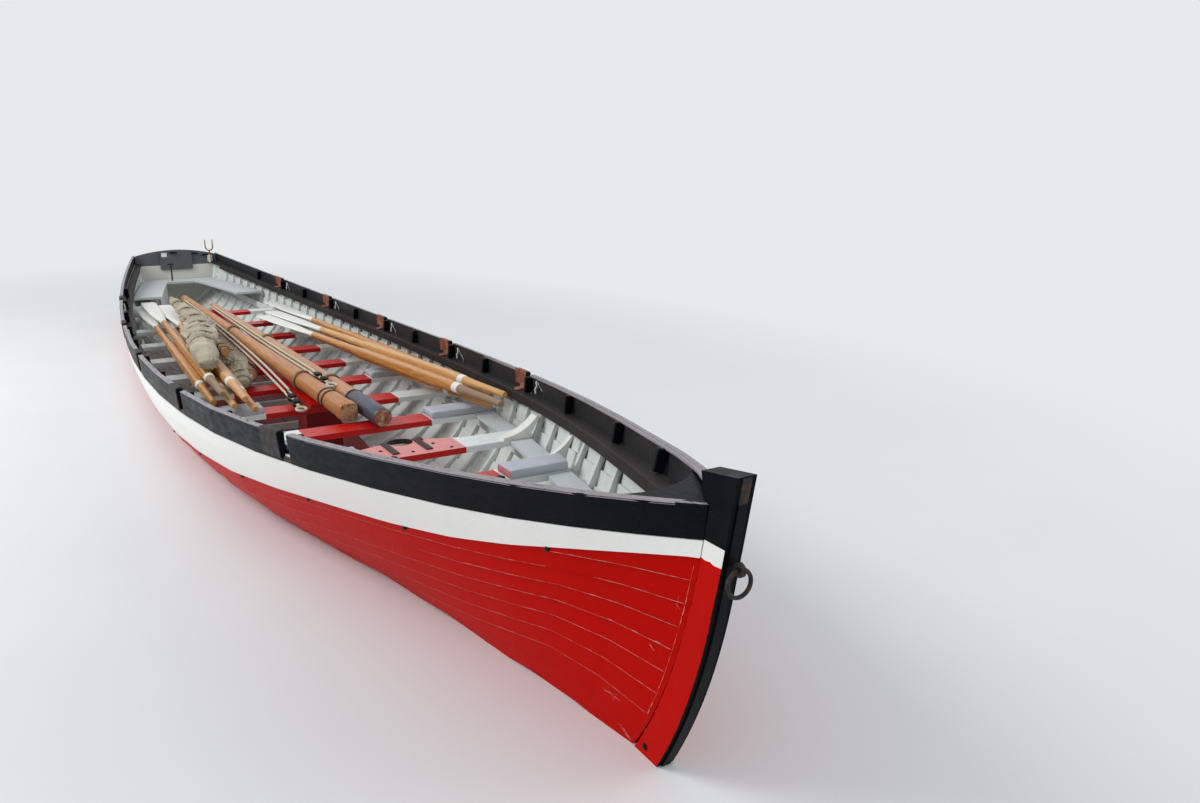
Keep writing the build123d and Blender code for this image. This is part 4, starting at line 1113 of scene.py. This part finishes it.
def cloth_reach(n, x, a, share):
    """How far roll n's cloth stands out at angle a, as a share of its half-width."""
    low, high = SAIL_TAUT[n]
    taut = ease(share, low, low + 0.05) * (1 - ease(share, high, high + 0.08))
    c, s = math.cos(a), math.sin(a)
    drape = 0.16 * noise.noise(Vector((x * 2.0, c * 1.5 + 7 * n, s * 1.5)))
    bend = 4 * noise.noise(Vector((x * 1.5, c + 3 * n, s)))
    folds = 0.15 * math.sin(5 * a + bend + 2.5 * x) * (0.4 + noise.noise(Vector((x * 2.6, c * 2, s * 2 + n))))
    broad = abs(noise.noise(Vector((x * 9 + 3 * s, c * 4 + n, s * 4))))
    fine = abs(noise.noise(Vector((x * 19, c * 9, s * 9 + n))))
    creases = 0.26 * (broad + 0.5 * fine - 0.25)
    gather = 0.10 * math.sin(13 * a + 3 * n) * math.exp(-(share / 0.035)**2)
    return 0.90 + drape * lerp(1.0, 0.5, taut) + (folds + creases) * lerp(1.0, 0.22, taut) + gather


def make_sails():
    """Furled canvas: folds run along each roll, gathered at its end and pinched where it is tied."""
    lengthwise, around = 340, 110
    for n, (rows, ties) in enumerate(zip(SAILS, SAIL_TIES)):
        rings = []
        for share in (j / lengthwise for j in range(lengthwise + 1)):
            x, y, z, width, height = sail_section(rows, share)
            pinch = 1.0 - sum(0.15 * math.exp(-((share - tie) / 0.008)**2) for tie in ties)
            flare = 1.0 + 0.45 * math.exp(-(share / 0.06)**2)
            closing = math.sqrt(ease(share, -0.004, 0.02)) * math.sqrt(ease(1 - share, -0.004, 0.015))
            ring = []
            for a in circle(around):
                reach = cloth_reach(n, x, a, share) * pinch * closing
                ring.append(Vector((x, y + math.cos(a) * width / 2 * reach * flare,
                                    z + math.sin(a) * height / 2 * reach)))
            rings.append(ring)
        shape = Shape()
        shape.rings(rings)
        made = shape.make(f"furled_sail_{n + 1}", ["weathered_canvas"], "canvas", stands_for="furled_sails")


def make_lashings():
    """Ties round the furled sails and rope turns round the yards' butts."""
    lashings = Shape()
    for rows, ties in zip(SAILS, SAIL_TIES):
        for tie in ties:
            x, y, z, width, height = sail_section(rows, tie)
            across, up = width * 0.38 + 0.006, height * 0.38 + 0.006
            for turn in (-0.011, 0.0, 0.012):
                path = []
                for a in circle(28):
                    waver = 0.006 * math.sin(3 * a)
                    path.append(Vector((x + turn + waver, y + math.cos(a) * across, z + math.sin(a) * up)))
                add_tube(lashings, path, LASHING_RADIUS, closed=True)
    for yard, first, turns in ((YARDS[0], 0.05, 5), (YARDS[0], 0.20, 4), (YARDS[1], 0.03, 7)):
        for n in range(turns):
            tilt = 0.018 * math.sin(2.3 * n)
            ring = spar_ring(yard, first + 0.016 * n, yard[2] + YARD_ROPE_RADIUS, count=20)
            path = [p + X * (tilt * math.sin(a)) for a, p in zip(circle(20), ring)]
            add_tube(lashings, path, YARD_ROPE_RADIUS, closed=True)
    lashings.make("sail_lashings", ["old_rope"], "canvas")


# Hull pieces

def rib_side(x):
    """Outer and inner points of a rib's port half at x, from the keelson to the sheer."""
    line = [at_x(x, 0.08 + 0.905 * i / 14) for i in range(15)]
    floor = at_x(x, 0.0).z + HOG_HEIGHT + 0.010
    pairs = [(Vector((x, 0, floor)), Vector((x, 0, floor + RIB_OUTER)))]
    for i, here in enumerate(line):
        inward = inward_along(line, i)
        foot = here + inward * RIB_INNER
        if foot.y > 2 * HOG_HALF and foot.z > floor + 0.014:
            pairs.append((here + inward * RIB_OUTER, foot))
    return pairs


def make_ribs():
    """Bent ribs bedded against the planking and carried over the keelson."""
    ribs = Shape()
    for x in spaced(FIRST_RIB, LAST_RIB, RIB_SPACING):
        aft, fore = rib_side(x - RIB_WIDTH / 2), rib_side(x + RIB_WIDTH / 2)
        count = min(len(aft), len(fore))
        half = zip(aft[:1] + aft[-count + 1:], fore[:1] + fore[-count + 1:])
        port = [(outer_aft, inner_aft, inner_fore, outer_fore)
                for (outer_aft, inner_aft), (outer_fore, inner_fore) in half]
        starboard = [[on_side(p, -1) for p in row] for row in reversed(port)]
        ribs.rings(starboard + port[1:])
    ribs.make("bent_ribs", ["pale_inside_paint"], "pale_grey_paint", smooth=False, stands_for="ribs")


def make_sheer_boards():
    """The full depth of the white sheer strakes, laid over the narrower planks beneath."""
    boards = Shape()
    rings = []
    steps = 120
    for i in range(steps + 1):
        s = lerp(0.04, STEM - 0.003, i / steps)
        low = min(sheer_edge(s), RED_STRAKES - 0.05)
        middle = RED_STRAKES - 1 if low < RED_STRAKES - 1.1 else (low + RED_STRAKES) / 2
        section = [(k, SHEER_PROUD) for k in (low, middle, RED_STRAKES, SHEER_TOP)]
        section += [(SHEER_TOP, -0.004), (middle, -SHEER_SUNK), (low, -SHEER_SUNK)]
        rings.append([between_seams(k, s) + outward_at(min(k, 11.5), s) * d for k, d in section])
    boards.both_sides(rings)
    crease(boards.make("sheer_strake_boards", ["clean_white_paint"], "white_paint", smooth=False))


def make_side_eyes():
    """Small iron eyes under the white strakes, one a station, and a flat black disc a side in the bow,
    painted shade for a hole.
    """
    eyes = Shape()
    for i in range(-2, ROWERS + 2):
        x = notch_x(i) - 0.03
        s = solve(lambda s: between_seams(sheer_edge(s), s).x - x, 0.0, float(STEM))
        k = sheer_edge(s) - 0.12
        for side in (1, -1):
            add_dome(eyes, on_side(between_seams(k, s), side), on_side(outward_at(k, s), side), *SIDE_EYE)
    # Flat black discs of painted shade stand for the hole in the bow
    for side in (1, -1):
        add_dome(eyes, on_side(BOW_HOLE_SHADE_PLACE, side), Y * side, *BOW_HOLE_SHADE, kind=1)
    eyes.make("side_eyes", ["rusty_iron", "black_paint"], "iron")


def make_stem_head_band():
    """The stem band carried on to the top of the stem head."""
    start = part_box("stem_band")[1][2] - 0.012
    (low_x, low_z), (top_x, top_z) = STEM_FRONT[-2:]
    section = [(-0.004, -0.0165), (0.0035, -0.0150), (0.0035, 0.0150), (-0.004, 0.0165)]
    rings = []
    for i in range(9):
        z = lerp(start, top_z - 0.003, i / 8)
        x = lerp(low_x, top_x, (z - low_z) / (top_z - low_z))
        rings.append([(x + dx, y, z) for dx, y in section])
    band = Shape()
    band.rings(rings)
    band.make("stem_head_band", ["weathered_iron"], "iron", smooth=False)


def make_covering_boards():
    """Dark boards that close the gap between inwale and wash strake."""
    boards = Shape()
    rings = []
    bevel = 0.003
    for i in range(101):
        x = lerp(-5.755, 5.300, i / 100)
        outer = cover_edge(x).y - 0.0003
        inner = max(inwale_corner(x).y - 0.002, 0.02)
        top = at_x(x, 1.0).z + COVER_TOP
        under = top - COVER_DEPTH
        section = [(outer, under), (outer, top), (inner + bevel, top), (inner, top - bevel), (inner, under)]
        rings.append([(x, y, z) for y, z in section])
    boards.both_sides(rings)
    boards.make("covering_boards", ["brown_black_paint"], "black_paint", smooth=False)


def make_wash_posts():
    """Upright posts on the covering boards, at every station and before each notch."""
    posts = Shape()
    for side in (1, -1):
        places = [x - ROOM for x in notches(side)]
        places += [x + NOTCH_WIDTH / 2 + 0.019 for x in notches(side)]
        places += [x for x in (notch_x(9), notch_x(10), 4.95) if x > max(places) + 0.1]
        for x in places:
            low, high = wash_line(x)
            ahead = (wash_line(x + 0.02)[1] - wash_line(x - 0.02)[1]).normalized()
            rise = (high - low).normalized()
            inward = -outward(ahead, rise)
            base, head = cover_edge(x), wash_at(x, 0.96)
            middle = (base + head) / 2 + inward * (POST_DEPTH / 2 - 0.001)
            axes = [on_side(axis, side) for axis in (ahead, inward, rise)]
            add_box(posts, on_side(middle, side), axes, (POST_WIDTH, POST_DEPTH, (head - base).length), 0.004)
    posts.make("wash_strake_posts", ["black_paint"], "black_paint", smooth=False, stands_for="wash_posts")


def make_caps():
    """Worn capping on the wash strakes, broader towards the bow, cut through at the notches."""
    caps = Shape()
    reach = NOTCH_WIDTH / 2 + 0.001
    for side in (1, -1):
        starts = [-5.770] + [x + reach for x in notches(side)]
        ends = [x - reach for x in notches(side)] + [5.590]
        for start, end in zip(starts, ends):
            steps = max(4, int((end - start) / 0.06))
            rings = []
            for i in range(steps + 1):
                x = lerp(start, end, i / steps)
                top = seam_at_x(WASH_SEAM, x)
                outer = top.y - 0.0004
                inner = max(top.y - lerp(*CAP_WIDTHS, ease(x, 1.5, 4.6)), 0.010)
                section = [(outer, -0.004), (outer, CAP_TOP - 0.002), (outer - 0.002, CAP_TOP),
                           (inner + 0.002, CAP_TOP), (inner, CAP_TOP - 0.002), (inner, -0.004)]
                rings.append([(x, y * side, top.z + z) for y, z in section])
            caps.rings(rings)
    caps.make("wash_strake_caps", ["worn_cap_paint"], "black_paint", smooth=False)


def make_corner_cleats():
    """Timbers in the corners between the transom, the planking and the wash strakes."""
    cleats, blocks = Shape(), Shape()
    line = [bezier(guides_at(0.05), 0.06 + 0.93 * i / 24) for i in range(25)]
    section = [(0.034, 0.014), (0.026, 0.040), (-0.001, 0.058), (-0.020, 0.012)]
    low, wash_y, high = STATIONS[0][8] + 0.004, STATIONS[0][9], STATIONS[0][10] - 0.004
    middle = (low + high) / 2
    rings = []
    for i, here in enumerate(line):
        places = [(dx, here + inward_along(line, i) * d) for dx, d in section]
        rings.append([(transom_front(here.z) + dx, p.y, p.z) for dx, p in places])
    cleats.both_sides(rings)
    for side in (1, -1):
        centre = Vector((transom_front(middle) + 0.004, side * (wash_y - 0.036), middle))
        add_box(blocks, centre, (X, Y, Z), (0.062, 0.030, high - low))
    cleats.make("transom_corner_cleats", ["pale_inside_paint"], "pale_grey_paint", smooth=False)
    blocks.make("transom_corner_blocks", ["dark_grey_paint"], "black_paint", smooth=False)


def make_transom_fittings():
    """Dark cleats along the wash board's top and a blank pale plate on the board inside it."""
    cleats, plate = Shape(), Shape()
    for y, z, length in ((-0.03, 0.772, 0.07), (0.235, 0.752, 0.05), (0.370, 0.728, 0.08)):
        on_backboard = abs(y) < 0.19
        centre = Vector((transom_front(z) + (0.037 if on_backboard else 0.008), y, z))
        add_box(cleats, centre, (Y, X, Z), (length, 0.016, 0.016), 0.004)
        add_box(cleats, centre + X * 0.014, (Y, X, Z), (length * 1.5, 0.012, 0.014), 0.004)
    cleats.make("transom_cleats", ["black_paint"], "iron", smooth=False)
    height = 0.745
    centre = Vector((transom_front(height) + 0.031, -0.137, height))
    add_box(plate, centre, (Y, X, Z), (0.066, 0.003, 0.052), 0.001)
    plate.make("blank_plate", ["white_paint"], "white_paint", smooth=False)


def make_lanyards():
    """Short white lanyards that hang inside the wash strakes, ahead of each notch."""
    cords = Shape()
    # Share of the wash strake's height, then the way ahead and into the boat
    thick = [(0.86, -0.006, 0.004), (0.86, 0.004, 0.012), (0.685, 0.010, 0.010), (0.56, 0.002, 0.014),
             (0.36, 0.006, 0.012)]
    thin = [(0.86, 0.01, 0.006), (0.62, 0.05, 0.006), (0.5, 0.09, 0.006), (0.3, 0.10, 0.006)]
    for i, side in enumerate(NOTCH_SIDES):
        x = notch_x(i) + LANYARD_AHEAD
        for places, radius, sides in ((thick, LANYARD_RADIUS, 8), (thin, WHIPPING_RADIUS, 6)):
            path = [on_side(wash_at(x, share) + Vector((dx, -dy, 0)), side) for share, dx, dy in places]
            add_tube(cords, smooth_path(path, 6), radius, sides, twist=60)
    cords.make("notch_lanyards", ["white_cord"], "canvas")


def make_leather_feet():
    """The lower ends of the oar leathers, carried down the wash strakes and out over the covering boards."""
    feet = Shape()
    for i, side in enumerate(NOTCH_SIDES):
        end = notch_x(i) - NOTCH_WIDTH / 2 - 0.002
        rings = []
        for x, reach in ((end - LEATHER_FOOT, 0.045), (end, 0.062)):
            upper, corner = wash_at(x, 0.55), cover_edge(x)
            line = [(upper.y - 0.0010, upper.z), (corner.y - 0.0015, corner.z + 0.0055),
                    (corner.y - reach, corner.z + 0.0010), (corner.y - reach - 0.002, corner.z + 0.0050),
                    (corner.y - 0.0075, corner.z + 0.0105), (upper.y - 0.0050, upper.z)]
            rings.append([(x, y * side, z) for y, z in line])
        feet.rings(rings)
        x = notch_x(i)
        low = wash_line(x)[0]
        middle = Vector((x, side * (low.y + WASH_THICKNESS / 2 - 0.001), low.z + 0.010))
        ahead = (wash_line(x + 0.02, side)[0] - wash_line(x - 0.02, side)[0]).normalized()
        axes = (ahead, Z.cross(ahead).normalized(), Z)
        add_box(feet, middle, axes, (NOTCH_WIDTH - 0.004, WASH_THICKNESS, 0.022))
    feet.make("oar_leather_feet", ["oar_leather"], "leather", smooth=False)


def make_bolts():
    """Bolt heads along the inwales and on the mast thwart."""
    heads = Shape()
    for x in spaced(-4.85, 4.95, RIB_SPACING / 2):
        corner = inwale_corner(x) + Z * 0.004
        for side in (1, -1):
            add_dome(heads, on_side(corner, side), Y * -side, *INWALE_BOLT)
    middle = thwart_x(MAST_THWART)
    for dx, y in ((0.03, 0.0), (-0.06, 0.14), (-0.06, -0.14), (0.05, 0.20), (0.05, -0.20)):
        add_dome(heads, Vector((middle + dx, y, thwart_top(middle))), Z, *THWART_BOLT)
    heads.make("bolt_heads", ["weathered_iron"], "iron")


def make_rib_slot_shadows():
    """Dark strips of painted shade in the slots between rib and plank under the inwale."""
    slots = Shape()
    for x in spaced(FIRST_RIB + 2 * RIB_SPACING, 4.6, RIB_SPACING):
        edge = x + RIB_WIDTH / 2 + 0.001
        heights = [at_x(x, 1.0).z - drop for drop in (0.012, 0.060, 0.105)]
        lines = [[(here, side_y(here, z, 0.0270), z) for z in heights] for here in (edge, edge + 0.010)]
        for side in (1, -1):
            slots.strip([[on_side(p, side) for p in line] for line in lines])
    slots.make("rib_slot_shadows", ["slot_shadow"], "black_paint", smooth=False)


def islands(mesh):
    """Corner points of each separate solid in a CAD mesh, joined by place."""
    keys = [tuple(round(c, 5) for c in v.co) for v in mesh.vertices]
    groups = {key: {key} for key in keys}
    for polygon in mesh.polygons:
        joined = set().union(*(groups[keys[v]] for v in polygon.vertices))
        groups.update({key: joined for key in joined})
    solids = {id(group): group for group in groups.values()}
    return [[Vector(key) for key in group] for group in solids.values()]


def pad_corners(points):
    """The four plan corners of a pad, anticlockwise."""
    centre = sum(points, Vector()) / len(points)
    base = [p for p in points if p.z < centre.z]
    return sorted(base, key=lambda p: math.atan2(p.y - centre.y, p.x - centre.x))[:4]


def make_pads():
    """Flat cushions on thwart ends, slightly crowned, with rounded edges."""
    solids = islands(NODES["thwart_pads"].data)
    per_edge = 16
    for n, points in enumerate(sorted(solids, key=lambda solid: min(p.x for p in solid))):
        bottom, top = min(p.z for p in points), max(p.z for p in points)
        corners = pad_corners(points)
        centre = sum(corners, Vector()) / 4
        edges = zip(corners, corners[1:] + corners[:1])
        outline = [a.lerp(b, j / per_edge) for a, b in edges for j in range(per_edge)]
        rings = []
        for share, inset in PAD_PROFILE:
            ring = [corner + (centre - corner).normalized() * (inset * PAD_ROUNDING) for corner in outline]
            rings.append([Vector((p.x, p.y, lerp(bottom, top, share))) for p in ring])
        crown = [[Vector((lerp(centre.x, p.x, g), lerp(centre.y, p.y, g),
                          top + 0.004 * (1 - g) + 0.0015 * noise.noise(p * 9))) for p in rings[-1]]
                 for g in (0.75, 0.45, 0.18)]
        shape = Shape()
        shape.rings(rings, caps=False)
        shape.rings(rings[-1:] + crown)
        made = shape.make(f"thwart_pad_{n + 1}", ["pad_cover"], "grey_pad", stands_for="thwart_pads")
        edit(made, weld)


def add_crack(shape, k, run, side):
    """A thin ragged line of filler along seam k, through a run of station numbers and points."""
    if len(run) < 24:
        return
    lines = []
    for n, (s, point) in enumerate(run):
        rise = (seam_point(k + 1, s) - point).normalized()
        ahead = (seam_point(k, min(s + 0.01, STEM)) - seam_point(k, s - 0.01)).normalized()
        fade = min(1.0, min(n, len(run) - 1 - n) / 3)
        swell = max(0.0, noise.noise(Vector((point.x * 22, k * 2.0, side * 4))))
        broad = abs(noise.noise(Vector((point.x * 5, k * 2.0, 7))))
        width = (0.0009 + 0.0062 * swell * swell + 0.0016 * broad) * fade + 0.0003
        waver = 0.0016 * noise.noise(Vector((point.x * 16, k * 3.0, side * 6)))
        low = point + outward(ahead, rise) * 0.0009 - rise * (0.0006 - max(waver, 0.0))
        lines.append([on_side(p, side) for p in (low, low + rise * width)])
    shape.strip(lines)


def add_rabbet_crack(shape, side):
    """A crack down the planks' fore ends, just aft of the stem."""
    s = STEM - 0.035
    lines = []
    for i in range(61):
        k = lerp(4.0, 10.6, i / 60)
        here = between_seams(k, s)
        width = 0.0003 + 0.0050 * abs(noise.noise(Vector((here.z * 26, 3.0, side * 4))))
        here += outward_at(k, s) * 0.0010
        lines.append([on_side(p, side) for p in (here, here + X * width)])
    shape.strip(lines)


def add_scuff(shape, start, end, side):
    """A short ragged scrape on the planking."""
    lines = []
    for share in (i / 12 for i in range(13)):
        k, s = (lerp(a, b, share) for a, b in zip(start, end))
        here = between_seams(k, s) + outward_at(k, s) * 0.0012
        width = 0.0005 + 0.0050 * math.sin(math.pi * share) * abs(noise.noise(here * 60))
        lines.append([on_side(p, side) for p in (here, here + Z * width + X * (width * 0.5))])
    shape.strip(lines)


def make_seam_cracks():
    """Broken lines of filler along the red strakes' lower edges and up the rabbet, and scuffs on the bow."""
    for side, side_name in ((1, "port"), (-1, "starboard")):
        shape = Shape()
        for k in range(1, RED_STRAKES):
            s = 4.0
            run = []
            while s < STEM - 0.04:
                point = seam_point(k, s)
                broad = noise.noise(Vector((point.x * 0.9, k * 3.1, side * 2)))
                fine = noise.noise(Vector((point.x * 7.0, k * 5.7, side)))
                shown = broad + 0.30 * fine + 0.05 * (s - 6.5)
                if point.z > -0.02 and shown > -0.06 and k < sheer_edge(s) - 0.25:
                    run.append((s, point))
                else:
                    add_crack(shape, k, run, side)
                    run = []
                s += 0.0035 if s > 8 else 0.007
            add_crack(shape, k, run, side)
        add_rabbet_crack(shape, side)
        for start, end in SCUFFS:
            add_scuff(shape, start, end, side)
        shape.make(f"seam_cracks_{side_name}", ["seam_filler"], "red_paint")


# Studio

def make_floor():
    """Studio floor at the waterline, open where the hull floats."""
    inset, narrowest, reach = 0.013, 0.004, 80
    half = []
    for i in range(221):
        points = guides_at(STEM * i / 220)
        if points[0].z < 0:
            here = bezier(points, solve(lambda t: bezier(points, t).z, 0.0, 1.0))
            half.append((here.x, max(here.y - inset, narrowest)))
    half.sort()
    hole = half + [(x, -y) for x, y in reversed(half)]
    angles = [math.atan2(y, x) for x, y in hole]
    verts = [(x, y, 0.0) for x, y in hole] + [(reach * math.cos(a), reach * math.sin(a), 0.0) for a in angles]
    count = len(hole)
    faces = [(i, (i + 1) % count, count + (i + 1) % count, count + i) for i in range(count)]
    floor_paint("studio_floor_paint")
    mesh = bpy.data.meshes.new("studio_floor")
    mesh.from_pydata(verts, [], faces)
    mesh.materials.append(MATERIALS["studio_floor_paint"])
    floor = bpy.data.objects.new("studio_floor", mesh)
    bpy.context.scene.collection.objects.link(floor)


def make_camera():
    yaw, pitch, roll = (math.radians(a) for a in (CAMERA_YAW, CAMERA_PITCH, CAMERA_ROLL))
    forward = Vector((math.cos(yaw) * math.cos(pitch), math.sin(yaw) * math.cos(pitch), math.sin(pitch)))
    data = bpy.data.cameras.new("camera")
    data.sensor_width = CAMERA_SENSOR
    data.lens = CAMERA_LENS
    data.clip_end = 300
    camera = bpy.data.objects.new("camera", data)
    camera.location = CAMERA_PLACE
    camera.rotation_mode = "QUATERNION"
    camera.rotation_quaternion = forward.to_track_quat("-Z", "Y") @ Quaternion((0, 0, 1), roll)
    bpy.context.scene.collection.objects.link(camera)
    bpy.context.scene.camera = camera


def make_lamp(name, place, size, power):
    """A round lamp that faces the boat's middle."""
    data = bpy.data.lights.new(name, "AREA")
    data.shape = "DISK"
    data.size = size
    data.energy = power
    lamp = bpy.data.objects.new(name, data)
    lamp.location = place
    lamp.rotation_mode = "QUATERNION"
    lamp.rotation_quaternion = (Vector((0.5, 0, 0.4)) - Vector(place)).to_track_quat("-Z", "Y")
    bpy.context.scene.collection.objects.link(lamp)


def make_lights():
    """Soft even sky, one large lamp from the left of the view and a weak fill, before a pale backdrop."""
    scene = bpy.context.scene
    scene.view_settings.view_transform = "Standard"
    world = bpy.data.worlds.new("studio")
    scene.world = world
    nodes = Nodes(world)
    sky = nodes.tree.nodes["Background"]
    for socket, value in zip(sky.inputs, (SKY, SKY_STRENGTH)):
        nodes.feed(socket, value)
    seen = nodes.node("ShaderNodeBackground", [BACKDROP, 1.0])
    rays = nodes.node("ShaderNodeLightPath").outputs
    shown = rays["Is Camera Ray"]
    for ray in ("Is Glossy Ray", "Is Transmission Ray"):
        shown = nodes.math("MAXIMUM", shown, rays[ray])
    mix = nodes.node("ShaderNodeMixShader", [shown, sky.outputs[0], seen.outputs[0]])
    nodes.feed(nodes.tree.nodes["World Output"].inputs[0], mix.outputs[0])
    make_lamp("key", (-2.0, -9.0, 9.0), 7.0, 950.0)
    make_lamp("fill", (9.0, 8.0, 7.0), 7.0, 260.0)


make_camera()
make_lights()
make_floor()
make_materials()
dress_nodes()
make_oars()
make_mast("foremast", FOREMAST, "foremast_varnish", TENON_HEEL)
make_mast("mainmast", MAINMAST, "mainmast_varnish", PLAIN_HEEL)
make_mast_bands()
make_halyards()
make_sails()
make_lashings()
make_ribs()
make_sheer_boards()
make_side_eyes()
make_stem_head_band()
make_covering_boards()
make_wash_posts()
make_caps()
make_corner_cleats()
make_transom_fittings()
make_lanyards()
make_leather_feet()
make_bolts()
make_rib_slot_shadows()
make_pads()
make_seam_cracks()
